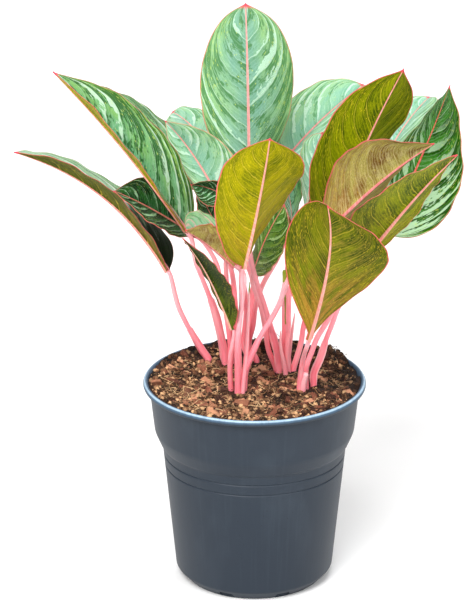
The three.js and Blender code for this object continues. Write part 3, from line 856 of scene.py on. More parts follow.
def merge(name: str, parts: Sequence[bpy.types.Mesh]) -> bpy.types.Mesh:
    """Joins meshes of one material into one, with their point attributes.

    Args:
        name: The new mesh's name.
        parts: The meshes, which are removed.

    Returns:
        The joined mesh.
    """
    points: list[np.ndarray] = []
    faces: list[list[int]] = []
    kept: dict[str, list[np.ndarray]] = {"stalk": [], "wing": [], "leafy": []}
    start = 0
    for part in parts:
        points.append(np.array([vertex.co for vertex in part.vertices]) / MM)
        faces += [[start + corner for corner in face.vertices] for face in part.polygons]
        for key, rows in kept.items():
            found = part.attributes[key]
            vector = found.data_type == "FLOAT_VECTOR"
            values = np.zeros(len(part.vertices) * (3 if vector else 1), dtype=np.float32)
            found.data.foreach_get("vector" if vector else "value", values)
            rows.append(values.reshape(-1, 3) if vector else values)
        start += len(part.vertices)
        bpy.data.meshes.remove(part)
    made = mesh_of(name, np.concatenate(points), faces)
    for key, rows in kept.items():
        store(made, key, np.concatenate(rows))
    return made


def unit(rows: np.ndarray) -> np.ndarray:
    """Returns each row at a length of 1."""
    return rows / np.linalg.norm(rows, axis=-1, keepdims=True)


def ease(value: np.ndarray | float, low: float, high: float) -> Any:
    """Returns a soft step from 0 at low to 1 at high."""
    x = np.clip((np.asarray(value) - low) / (high - low), 0, 1)
    return x * x * (3 - 2 * x)


def report(piece: bpy.types.Object) -> None:
    """Logs a piece's name and how many faces it has."""
    LOG.info("%s: %d faces", piece.name, len(piece.data.polygons))


# ---- geometry node trees ------------------------------------------------------------------------


class Repeat(Graph):
    """A Geometry Nodes tree that scatters or repeats one small shape, ending in plain meshes."""

    def __init__(self, name: str, inputs: dict[str, tuple[str, Any]]) -> None:
        """Starts the tree with named inputs.

        Args:
            name: The tree's name.
            inputs: The socket type and the value of each input, by name.
        """
        super().__init__(bpy.data.node_groups.new(name, "GeometryNodeTree"))
        self.values = {key: value for key, (_, value) in inputs.items()}
        face = self.tree.interface
        face.new_socket("Ground", in_out="INPUT", socket_type="NodeSocketGeometry")
        for key, (kind, _) in inputs.items():
            face.new_socket(key, in_out="INPUT", socket_type=kind)
        face.new_socket("Pieces", in_out="OUTPUT", socket_type="NodeSocketGeometry")
        self.inputs = self.wires("NodeGroupInput")

    def chance(self, low: float, high: float, seed: int) -> Wire:
        """Returns a random number for each point, between low and high, from a fixed seed."""
        return self.wire("FunctionNodeRandomValue", {2: low, 3: high, 8: seed}, 1, data_type="FLOAT")

    def finish(self, shapes: Wire, material: Wire, smooth: bool) -> None:
        """Ends the tree: instances made real, shaded and given their material.

        Args:
            shapes: The geometry.
            material: The material's input.
            smooth: Whether faces are shaded smooth.
        """
        real = self.wire("GeometryNodeRealizeInstances", {0: shapes})
        shaded = self.wire("GeometryNodeSetShadeSmooth", {"Geometry": real, "Shade Smooth": smooth})
        dressed = self.wire("GeometryNodeSetMaterial", {"Geometry": shaded, "Material": material})
        self.add("NodeGroupOutput", {0: dressed})

    def grow(self, name: str, ground: bpy.types.Mesh) -> bpy.types.Object:
        """Runs the tree on a mesh and keeps the result as a plain object.

        Args:
            name: The piece's name.
            ground: The mesh that the tree starts from.

        Returns:
            The piece.
        """
        owner = keep(f"{name}_ground", ground)
        modifier = owner.modifiers.new("grow", "NODES")
        modifier.node_group = self.tree
        for item in self.tree.interface.items_tree:
            if item.in_out == "INPUT" and item.name in self.values:
                modifier[item.identifier] = self.values[item.name]
        graph = bpy.context.evaluated_depsgraph_get()
        made = bpy.data.meshes.new_from_object(
            owner.evaluated_get(graph), preserve_all_data_layers=True, depsgraph=graph
        )
        owner.modifiers.remove(modifier)
        bpy.data.objects.remove(owner)
        made.name = name
        return keep(name, made)


class Shape(Enum):
    """The small shapes that lie on the soil."""

    CHIP = "chip"
    CRUMB = "crumb"
    FIBRE = "fibre"


@dataclass
class Litter:
    """One kind of loose bit scattered over the soil."""

    name: str
    shape: Shape
    finish: Finish
    density: float  # bits on a square metre
    smallest: float
    largest: float
    seed: int
    rarity: float = 1.8  # the higher, the fewer large bits
    lean: float = 0.6  # how far a bit tilts either way, in radians
    crumple: float = 1.5  # how far noise pushes its corners about

    def bit(self, tree: Repeat) -> Wire:
        """Draws one bit of unit size.

        Args:
            tree: The tree that it goes in.

        Returns:
            The bit's geometry.
        """
        if self.shape is Shape.CHIP:
            feeds = {"Size": (1.0, 0.5, 0.24), "Vertices X": 4, "Vertices Y": 3, "Vertices Z": 2}
            return tree.wire("GeometryNodeMeshCube", feeds, "Mesh")
        if self.shape is Shape.CRUMB:
            return tree.wire("GeometryNodeMeshIcoSphere", {"Radius": 0.5, "Subdivisions": 1}, "Mesh")
        feeds = {"Resolution": 8, "Start": (-0.5, 0, 0), "Middle": (0.05, 0.16, 0.06), "End": (0.5, -0.05, 0)}
        path = tree.wire("GeometryNodeCurveQuadraticBezier", feeds)
        section = tree.wire("GeometryNodeCurvePrimitiveCircle", {"Resolution": 4, "Radius": 0.016})
        feeds = {"Curve": path, "Profile Curve": section, "Fill Caps": True}
        return tree.wire("GeometryNodeCurveToMesh", feeds)

    def scatter(self, ground: bpy.types.Mesh) -> bpy.types.Object:
        """Strews the bits over the soil's top.

        Args:
            ground: The soil's top, with the attribute "open" where bits may lie.

        Returns:
            The piece.
        """
        tree = Repeat(
            f"strew_{self.name}",
            {
                "Density": ("NodeSocketFloat", self.density),
                "Smallest": ("NodeSocketFloat", self.smallest * MM),
                "Largest": ("NodeSocketFloat", self.largest * MM),
                "Finish": ("NodeSocketMaterial", self.finish.material()),
            },
        )
        given = tree.inputs
        room = tree.wire("GeometryNodeInputNamedAttribute", {"Name": "open"}, data_type="FLOAT")
        feeds = {"Mesh": given["Ground"], "Density": given["Density"] * room, "Seed": self.seed}
        spots = tree.wires("GeometryNodeDistributePointsOnFaces", feeds, distribute_method="RANDOM")
        tilt = tree.join(
            tree.chance(-self.lean, self.lean, self.seed + 1),
            tree.chance(-self.lean, self.lean, self.seed + 2),
            tree.chance(0.0, FULL_TURN, self.seed + 3),
        )
        turn = tree.wire("FunctionNodeEulerToRotation", {0: tilt})
        feeds = {"Rotation": spots["Rotation"], "Rotate By": turn}
        aligned = tree.wire("FunctionNodeRotateRotation", feeds, rotation_space="LOCAL")
        draw = tree.math("POWER", tree.chance(0.0, 1.0, self.seed + 4), self.rarity)
        size = given["Smallest"] + draw * (given["Largest"] - given["Smallest"])
        scale = tree.join(
            size,
            size * tree.chance(0.7, 1.25, self.seed + 5),
            size * tree.chance(0.7, 1.3, self.seed + 6),
        )
        feeds = {"Points": spots["Points"], "Instance": self.bit(tree), "Rotation": aligned, "Scale": scale}
        strewn = tree.wire("GeometryNodeInstanceOnPoints", feeds)
        feeds = {"Geometry": strewn, "Name": "tint", "Value": tree.chance(0.0, 1.0, self.seed + 7)}
        tinted = tree.wire("GeometryNodeStoreNamedAttribute", feeds, data_type="FLOAT", domain="INSTANCE")
        real = tree.wire("GeometryNodeRealizeInstances", {0: tinted})
        place = tree.wire("GeometryNodeInputPosition")
        rough = tree.wire("ShaderNodeTexNoise", {"Vector": place, "Scale": 420.0, "Detail": 2.0}, "Color")
        middle = (0.5, 0.5, 0.5)
        centred = tree.wire("ShaderNodeVectorMath", {0: rough, 1: middle}, operation="SUBTRACT")
        reach = (self.crumple * MM,) * 3
        shift = tree.wire("ShaderNodeVectorMath", {0: centred, 1: reach}, operation="MULTIPLY")
        bent = tree.wire("GeometryNodeSetPosition", {"Geometry": real, "Offset": shift})
        tree.finish(bent, given["Finish"], self.shape is not Shape.CHIP)
        return tree.grow(self.name, ground)


# ---- pot ----------------------------------------------------------------------------------------


@dataclass
class NurseryPot:
    """The thin-walled pot, turned from its profile, with drain notches and ribs underneath."""

    segments: int = 240
    foot_r: float = 53.5
    chamfer_r: float = 60.8
    chamfer_z: float = 8.0
    wall_top_r: float = 70.6
    wall_top_z: float = 108.5
    band_foot_r: float = 76.6
    band_foot_z: float = 121.5
    band_top_r: float = 80.2
    band_top_z: float = 154.0
    rim_r: float = 85.0
    rim_z: float = 160.2
    wall: float = 1.4
    floor: float = 1.8
    grooves: Pair = (93.0, 101.5)
    groove_depth: float = 0.7
    drains: int = 8
    drain_width: float = 11.0
    drain_height: float = 5.0
    drain_corner: float = 1.5
    recess_r: float = 48.0
    recess: float = 0.9
    hub_r: float = 12.0  # the innermost ring of the floor
    ribs: int = 16
    rib_start: float = 16.0
    rib_width: float = 1.1
    rib_height: float = 0.8
    sharp: float = 32.0  # degrees from which an edge is shaded sharp

    def wall_r(self, z: float) -> float:
        """Returns the wall's outer radius at a height."""
        share = (z - self.chamfer_z) / (self.wall_top_z - self.chamfer_z)
        return self.chamfer_r + (self.wall_top_r - self.chamfer_r) * share

    def outside(self) -> list[Row]:
        """Lists the corners of the outer profile from the foot to the rim.

        Returns:
            Each corner's radius, height and rounding.
        """
        points = [
            (self.foot_r - 4.0, 0.0, 0.3),
            (self.foot_r, 0.0, 0.5),
            (self.chamfer_r, self.chamfer_z, 1.6),
        ]
        for z in self.grooves:
            points += [
                (self.wall_r(z - 0.9), z - 0.9, 0.2),
                (self.wall_r(z) - self.groove_depth, z, 0.25),
                (self.wall_r(z + 0.9), z + 0.9, 0.2),
            ]
        points += [
            (self.wall_top_r, self.wall_top_z, 1.0),
            (self.wall_top_r + 1.6, self.wall_top_z + 2.0, 1.0),
            (self.band_foot_r - 0.8, self.band_foot_z - 2.5, 1.2),
            (self.band_foot_r, self.band_foot_z, 1.0),
            (self.band_top_r, self.band_top_z, 0.8),
            (self.band_top_r + 0.7, self.band_top_z + 1.4, 0.4),
            (self.rim_r - 0.7, self.band_top_z + 1.6, 0.4),
            (self.rim_r, self.band_top_z + 3.0, 0.8),
            (self.rim_r, self.rim_z - 1.8, 1.0),
            (self.rim_r - 1.2, self.rim_z, 0.9),
            (self.rim_r - 3.0, self.rim_z - 0.2, 0.9),
            (self.rim_r - 3.7, self.rim_z - 1.7, 0.8),
        ]
        return points

    def inside(self) -> list[Row]:
        """Lists the corners of the inner profile from the rim down to the floor.

        Returns:
            Each corner's radius, height and rounding.
        """
        return [
            (self.band_top_r - self.wall, self.band_top_z, 0.8),
            (self.band_foot_r - 0.4 - self.wall, self.band_foot_z - 0.6, 1.0),
            (self.wall_top_r - self.wall, self.wall_top_z + 1.2, 1.0),
            (self.chamfer_r - self.wall, self.chamfer_z + 0.8, 1.2),
            (self.foot_r - 0.6 * self.wall, self.floor, 0.8),
        ]

    @staticmethod
    def rounded(points: Sequence[Row], steps: int = 4) -> list[Pair]:
        """Rounds the corners of a profile.

        Args:
            points: Radius, height and rounding of each corner.
            steps: How many pieces an arc has.

        Returns:
            Radius and height of each point.
        """
        made: list[Pair] = []
        for index, (r, z, rounding) in enumerate(points):
            here = np.array([r, z])
            if index in (0, len(points) - 1):
                made.append((r, z))
                continue
            before = np.array(points[index - 1][:2]) - here
            after = np.array(points[index + 1][:2]) - here
            cut = min(rounding, 0.45 * np.linalg.norm(before), 0.45 * np.linalg.norm(after))
            start = here + cut * before / np.linalg.norm(before)
            end = here + cut * after / np.linalg.norm(after)
            for k in range(steps + 1):
                t = k / steps
                p = (1 - t) ** 2 * start + 2 * t * (1 - t) * here + t * t * end
                made.append((float(p[0]), float(p[1])))
        return made

    def turned(self) -> bpy.types.Mesh:
        """Turns the profile about the axis and closes it at both poles.

        Returns:
            The mesh of the pot, still without its drain notches.
        """
        corners = [(self.recess_r - 0.6, self.recess, 0.3), (self.recess_r, 0.0, 0.3)]
        corners += self.outside()[1:] + self.inside()
        profile = [(self.hub_r, self.recess)] + self.rounded(corners) + [(self.hub_r, self.floor)]
        rings = [circle(self.segments, r, z) for r, z in profile]
        points, faces = spun(rings, self.recess, self.floor)
        return mesh_of("pot_turned", points, faces)

    def cutters(self) -> bpy.types.Mesh:
        """Makes the blocks that cut the drain notches, their top corners rounded.

        Returns:
            The mesh of all the blocks.
        """
        parts: list[np.ndarray] = []
        faces: list[list[int]] = []
        half, corner = self.drain_width / 2, self.drain_corner
        arch = [(-half, -3.0), (half, -3.0)]
        for side, span in ((1, (0, 90)), (-1, (90, 180))):
            for a in np.radians(np.linspace(*span, 5)):
                x = math.copysign(half - corner, side) + corner * math.cos(a)
                arch.append((x, self.drain_height - corner + corner * math.sin(a)))
        for index in range(self.drains):
            a = 2 * math.pi * (index + 0.5) / self.drains
            along = np.array([math.cos(a), math.sin(a), 0])
            across = np.array([-math.sin(a), math.cos(a), 0])
            rings = [
                np.array([along * reach + across * x + np.array([0, 0, z]) for x, z in arch])
                for reach in (self.chamfer_r - 7.0, self.chamfer_r + 15.0)
            ]
            points, sides = loft(rings)
            start = sum(len(part) for part in parts)
            faces += [[start + corner for corner in face] for face in sides]
            parts.append(points)
        return mesh_of("drain_cutters", np.concatenate(parts), faces)

    def ribs_below(self) -> bpy.types.Object:
        """Repeats the thin ribs that stiffen the floor underneath round the axis.

        Returns:
            The piece.
        """
        tree = Repeat(
            "ribs_round",
            {
                "Count": ("NodeSocketInt", self.ribs),
                "Reach": ("NodeSocketFloat", (self.recess_r - 0.4) * MM),
                "Finish": ("NodeSocketMaterial", POT_PLASTIC.material()),
            },
        )
        given = tree.inputs
        inner = self.rib_start * MM
        length = given["Reach"] - inner
        size = tree.join(length, self.rib_width * MM, self.rib_height * MM)
        feeds = {"Size": size, "Vertices X": 6}
        block = tree.wire("GeometryNodeMeshCube", feeds, "Mesh")
        centre = tree.join(length * 0.5 + inner, 0.0, (self.recess - 0.3) * MM)
        rib = tree.wire("GeometryNodeTransform", {"Geometry": block, "Translation": centre})
        spots = tree.wire("GeometryNodePoints", {"Count": given["Count"], "Radius": 0.001})
        turn = tree.join(0.0, 0.0, tree.wire("GeometryNodeInputIndex") * (2 * math.pi / self.ribs))
        spin = tree.wire("FunctionNodeEulerToRotation", {0: turn})
        feeds = {"Points": spots, "Instance": rib, "Rotation": spin}
        ring = tree.wire("GeometryNodeInstanceOnPoints", feeds)
        tree.finish(ring, given["Finish"], False)
        return tree.grow("pot_ribs", bpy.data.meshes.new("rib_start"))

    def build(self) -> list[bpy.types.Object]:
        """Makes the pot and its ribs.

        Returns:
            The pieces.
        """
        owner = keep("pot_shell", self.turned())
        cutter = keep("pot_cutters", self.cutters())
        cut = owner.modifiers.new("drains", "BOOLEAN")
        cut.object, cut.operation, cut.solver = cutter, "DIFFERENCE", "EXACT"
        graph = bpy.context.evaluated_depsgraph_get()
        mesh = bpy.data.meshes.new_from_object(owner.evaluated_get(graph), depsgraph=graph)
        owner.modifiers.remove(cut)
        bpy.data.objects.remove(cutter)
        owner.data = mesh
        mesh.polygons.foreach_set("use_smooth", [True] * len(mesh.polygons))
        mesh.set_sharp_from_angle(angle=math.radians(self.sharp))
        mesh.materials.append(POT_PLASTIC.material())
        ribs = self.ribs_below()
        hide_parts("pot")
        for piece in (owner, ribs):
            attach(piece, BODY)
            report(piece)
        return [owner, ribs]


# ---- soil ---------------------------------------------------------------------------------------


@dataclass
class SoilBed:
    """The peat in the pot, with bark, crumbs and fibres strewn over it."""

    shoots: dict[str, Row]
    level: float = 155.5
    radius: float = 80.9
    edge: Row = (78.6, 154.0, 0.56)  # the wall's radius and height by it, and its slope
    rim: float = 84.0  # bits stay inside this radius
    crest: float = 162.0  # except where the soil is heaped above this height
    rings: int = 110
    segments: int = 300
    mounds: tuple[tuple[float, float, float, float], ...] = ((60, 43, 8.5, 12), (4, 68, 7.5, 8))
    shore: Row = (60.0, 16.0, 2.4)  # the rise towards the rim: its start, its width and its height
    bank: float = 3.2  # how high the soil lies along the back
    still: float = 14.0  # how far from a cane the ground is calmed
    side: tuple[Pair, ...] = (
        (78.2, 151.0), (74.3, 120.9), (68.7, 110.0), (58.9, 9.1), (52.4, 2.4),
    )
    litter: list[Litter] = field(
        default_factory=lambda: [
            Litter("bark_chips", Shape.CHIP, BARK, 20000, 3.5, 12.0, 11, lean=0.35),
            Litter("peat_crumbs", Shape.CRUMB, CRUMB, 150000, 1.1, 4.6, 31, crumple=1.3),
            Litter("coir_fibres", Shape.FIBRE, FIBRE, 130000, 3.0, 17.0, 51),
        ]
    )

    def height(self, x: float, y: float) -> float:
        """Works out the soil's height at a place: broad bumps, a bank at the back and lumps of peat.

        Args:
            x: How far to the right the place is.
            y: How far to the back it is.

        Returns:
            The height.
        """
        bumps = 1.1 * math.sin(0.17 * x + 0.6) * math.cos(0.14 * y)
        bumps += 0.9 * math.sin(0.31 * x - 0.23 * y + 1.9)
        r = math.hypot(x, y)
        bank = self.bank * max(0.0, (r - 50) / 28) * max(0.0, y / 70) * (0.6 + 0.4 * abs(math.sin(x / 22)))
        calm = 1.0
        for ax, ay, radius in self.shoots.values():
            calm = min(calm, max(0.0, (math.hypot(x - ax, y - ay) - radius) / self.still))
        place = Vector((x, y, 0.0))
        lumps = sum(h * noise.noise(place / size) for h, size in ((1.5, 5.5), (0.9, 2.4), (0.4, 1.1)))
        dip = -1.6 * max(0.0, noise.noise(place / 7.0 + Vector((9.0, 4.0, 0.0))) - 0.25) * 2
        heaped = sum(h * math.exp(-((x - mx) ** 2 + (y - my) ** 2) / w**2) for mx, my, h, w in self.mounds)
        heaped += self.shore[2] * min(1.0, max(0.0, (r - self.shore[0]) / self.shore[1]))
        return self.level + bumps * calm + bank + heaped + lumps * (0.45 + 0.55 * calm) + dip

    def top(self) -> np.ndarray:
        """Lays out the rings of the top from the middle outwards.

        Returns:
            The rings, as rows of points.
        """
        angles = np.linspace(0, 2 * math.pi, self.segments, endpoint=False)
        radii = [self.radius * (index / self.rings) ** 0.75 for index in range(1, self.rings + 1)]
        made = np.array([[(r * math.cos(a), r * math.sin(a), 0.0) for a in angles] for r in radii])
        for point in made.reshape(-1, 3):
            point[2] = self.height(*point[:2])
            foot, level, slope = self.edge
            limit = foot + slope * max(0.0, point[2] - level)
            point[:2] *= min(1.0, limit / math.hypot(*point[:2]))
        return made

    def ground(self, top: np.ndarray, reach: float) -> bpy.types.Mesh:
        """Makes the bare top that litter is strewn on.

        Args:
            top: The rings of the top.
            reach: How far a bit reaches from its middle; it is kept that far inside the rim.

        Returns:
            The open mesh, with the attribute "open".
        """
        count = self.segments
        points = top[:-3:2].reshape(-1, 3)
        faces = []
        for inner in range(0, len(points) - count, count):
            outer = inner + count
            for j in range(count):
                k = (j + 1) % count
                faces.append([inner + j, outer + j, outer + k, inner + k])
        made = bpy.data.meshes.new("soil_ground")
        made.from_pydata((points * MM).tolist(), [], faces)
        room = []
        for x, y, z in points:
            away = min(math.hypot(x - ax, y - ay) - r for ax, ay, r in self.shoots.values())
            free = self.rim - reach - math.hypot(x, y)
            inside = 1.0 if z > self.crest else min(1.0, max(0.0, free / 3.0))
            room.append(inside * min(1.0, max(0.12, (away + 2.0) / 6.0)))
        store(made, "open", np.array(room))
        return made

    def build(self) -> list[bpy.types.Object]:
        """Makes the soil and what lies on it.

        Returns:
            The pieces.
        """
        top = self.top()
        below = [circle(self.segments, r, z) for r, z in self.side]
        points, faces = spun([*top, *below], self.height(0, 0), self.side[-1][1])
        bed = keep("soil_bed", mesh_of("soil_bed", points, faces))
        bed.data.materials.append(PEAT.material())
        tints = [0.5 + 0.5 * noise.noise(Vector(point) / 9.0) for point in points.tolist()]
        store(bed.data, "tint", np.array(tints))
        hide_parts("soil")
        pieces = [bed]
        for kind in self.litter:
            pieces.append(kind.scatter(self.ground(top, 0.65 * kind.largest)))
        for piece in pieces:
            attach(piece, BODY)
            report(piece)
        return pieces


# ---- blades -------------------------------------------------------------------------------------


@dataclass
class Blade:
    """One leaf blade: a curved sheet on a midrib through three points.

    The face is the way the upper side looks; half is the greatest half-width; fold is how many degrees
    each half rises; twist is how many degrees the blade turns from base to tip; skew is how much wider
    one half is; belly, wedge and point shape the outline; wave is the height of the margin's waves.
    """

    name: str
    base: Row
    waist: Row
    tip: Row
    face: Row
    half: float
    fold: float
    twist: float
    skew: float
    belly: float
    wedge: float
    point: float
    wave: float
    upper: Upper
    under: Under
    rows: int = 110
    columns: int = 20
    thickness: float = 0.62
    edge: float = 0.36
    rib_half: float = 2.1
    rib_depth: float = 2.6
    waves: float = 3.0
    ruffle: float = 0.45  # the height of the margin's finer waves
    ruffles: float = 7.3
    arch: float = 0.045  # how far each half bows up, for its width
    pillow: float = 0.2  # how far it swells between two side veins
    groove: float = 0.3  # how deep the upper side sinks over the midrib
    collar: float = 1.2  # how far the foot stands up over it
    margin: float = 0.16  # how far the rounded margin reaches beyond the two sides

    def curve(self, s: np.ndarray) -> tuple[np.ndarray, np.ndarray]:
        """Returns places and directions along the midrib.

        Args:
            s: Shares of the way from base to tip.

        Returns:
            The places and the unit directions.
        """
        base, waist, tip = (np.array(p, float) for p in (self.base, self.waist, self.tip))
        bend = 2 * waist - (base + tip) / 2
        s = np.asarray(s, float)[:, None]
        places = (1 - s) ** 2 * base + 2 * s * (1 - s) * bend + s * s * tip
        return places, unit(2 * (1 - s) * (bend - base) + 2 * s * (tip - bend))

    def outline(self, s: np.ndarray) -> np.ndarray:
        """Works out how wide the blade is.

        Args:
            s: Shares of the way from base to tip.

        Returns:
            The half-width at each.
        """
        s = np.clip(s, 1e-6, 1 - 1e-6)
        body = np.sin(np.pi * s**self.belly) ** 0.52
        shape = body * (1 - np.exp(-(1 - s) / self.point)) * (1 - np.exp(-s / self.wedge))
        return self.half * shape

    def seed(self) -> float:
        """Returns a number that is the blade's own."""
        return sum(ord(letter) * (index + 3) for index, letter in enumerate(self.name)) % 97 / 1.7

    def frames(self, s: np.ndarray) -> tuple[np.ndarray, np.ndarray, np.ndarray, np.ndarray]:
        """Sets up the directions that the blade is laid out in.

        Args:
            s: Shares of the way from base to tip.

        Returns:
            The place, and the unit directions of the midrib, the upper side and the right-hand side.
        """
        places, along = self.curve(s)
        face = np.array(self.face, float) - (along @ np.array(self.face, float))[:, None] * along
        face = unit(face)
        turn = np.radians(self.twist * (s - 0.5))[:, None]
        face = face * np.cos(turn) + np.cross(along, face) * np.sin(turn)
        return places, along, face, np.cross(along, face)

    def build(self) -> bpy.types.Object:
        """Makes the blade as one closed sheet with its veins in relief.

        Returns:
            The piece.
        """
        x = np.linspace(0, 1, self.rows)
        s = 0.45 * x + 0.55 * (0.5 - 0.5 * np.cos(np.pi * x))
        s[0] = 0.3 / 120
        places, _, face, side = self.frames(s)
        rib = self.rib_half + (0.5 - self.rib_half) * s
        depth = self.rib_depth + (0.3 - self.rib_depth) * s**0.7
        half = np.maximum(self.outline(s), np.where(s > 0.9, 0.25 + 4 * (1 - s), 1.3 * rib))
        lead = np.array([0.0, 0.3, 0.6, 0.85, 1.1])  # columns on the midrib
        inner = np.minimum(1.0, 0.8 / (1.1 * rib / half))[:, None] * lead * (rib / half)[:, None]
        y = np.linspace(0, 1, self.columns - len(lead) + 2)[1:]
        y = 0.6 * y + 0.4 * np.sin(0.5 * np.pi * y)
        share = np.concatenate([inner, inner[:, -1:] + (1 - inner[:, -1:]) * y], axis=1)
        t = np.concatenate([-share[:, :0:-1], share], axis=1)

        fold = math.radians(self.fold)
        sign = np.sign(t)
        size = np.abs(t)
        seed = self.seed()
        s2, half2 = s[:, None], half[:, None]
        reach = half2 * size * (1 + sign * self.skew)
        broad = np.minimum(1, half2 / 15)
        waves = self.wave * np.sin(2 * np.pi * self.waves * s2 + sign) * size**2
        ruffle = self.ruffle * np.sin(2 * np.pi * self.ruffles * s2 + 1.7 * sign + seed) * size**4
        arch = self.arch * half2 * np.sin(np.pi * size)
        vein = s2 - 0.19 * size - 0.26 * size**4
        phase = vein * VEINS + 0.5 * sign
        calm = ease(size, 0.04, 0.3) * (1 - ease(size, 0.7, 1.0)) * ease(half2, 6, 20)
        pillow = self.pillow * (0.5 - 0.5 * np.cos(2 * np.pi * phase)) * calm
        away = half2 * size / rib[:, None]
        bell = 0.5 + 0.5 * np.cos(np.pi * np.minimum(1, away / 1.3))
        groove = -self.groove * bell * ease(s2, 0.08, 0.2) * (1 - ease(s2, 0.85, 1))
        collar = self.collar * bell * (1 - ease(s2, 0.0, 0.09))
        lift = reach * math.sin(fold) + (waves + ruffle) * broad + arch + pillow + groove
        across = side[:, None, :] * (sign * reach * math.cos(fold))[..., None]
        middle = places[:, None, :] + across
        top = middle + face[:, None, :] * (lift + collar)[..., None]
        sheet = self.thickness + (self.edge - self.thickness) * size**2
        keel = depth[:, None] * bell
        under = middle + face[:, None, :] * (lift - sheet - keel)[..., None]
        margin = 0.5 * (top + under)
        left = margin[:, :1] - side[:, None, :] * self.margin
        right = margin[:, -1:] + side[:, None, :] * self.margin

        grid = np.concatenate([top, right, under[:, ::-1], left], axis=1)
        points, faces = loft(list(grid))
        made = mesh_of(f"leaf_{self.name}", points, faces)

        def laid(values: np.ndarray) -> np.ndarray:
            """Returns values on the sheet's grid in the order of the mesh's points."""
            return np.concatenate([values, values[:, -1:], values[:, ::-1], values[:, :1]], axis=1).ravel()

        store(made, "blade", np.column_stack([laid(vein), laid(size), laid(0.5 * sign + seed)]))
        to_edge = half2 * (1 - size)
        to_rib = half2 * size / min(1.0, self.half / 30)
        store(made, "reach", np.column_stack([laid(to_rib), laid(to_edge), laid(s2 + 0 * size)]))
        made.materials.append(self.upper.value.material())
        made.materials.append(self.under.value.material())
        ring, count = grid.shape[1], t.shape[1]
        slots = [1] * len(made.polygons)
        for index in range((self.rows - 1) * ring):
            slots[index] = 0 if index % ring < count else 1
        made.polygons.foreach_set("material_index", slots)
        piece = keep(f"blade_{self.name}", made)
        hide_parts(f"leaf_{self.name}")
        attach(piece, BODY)
        report(piece)
        return piece


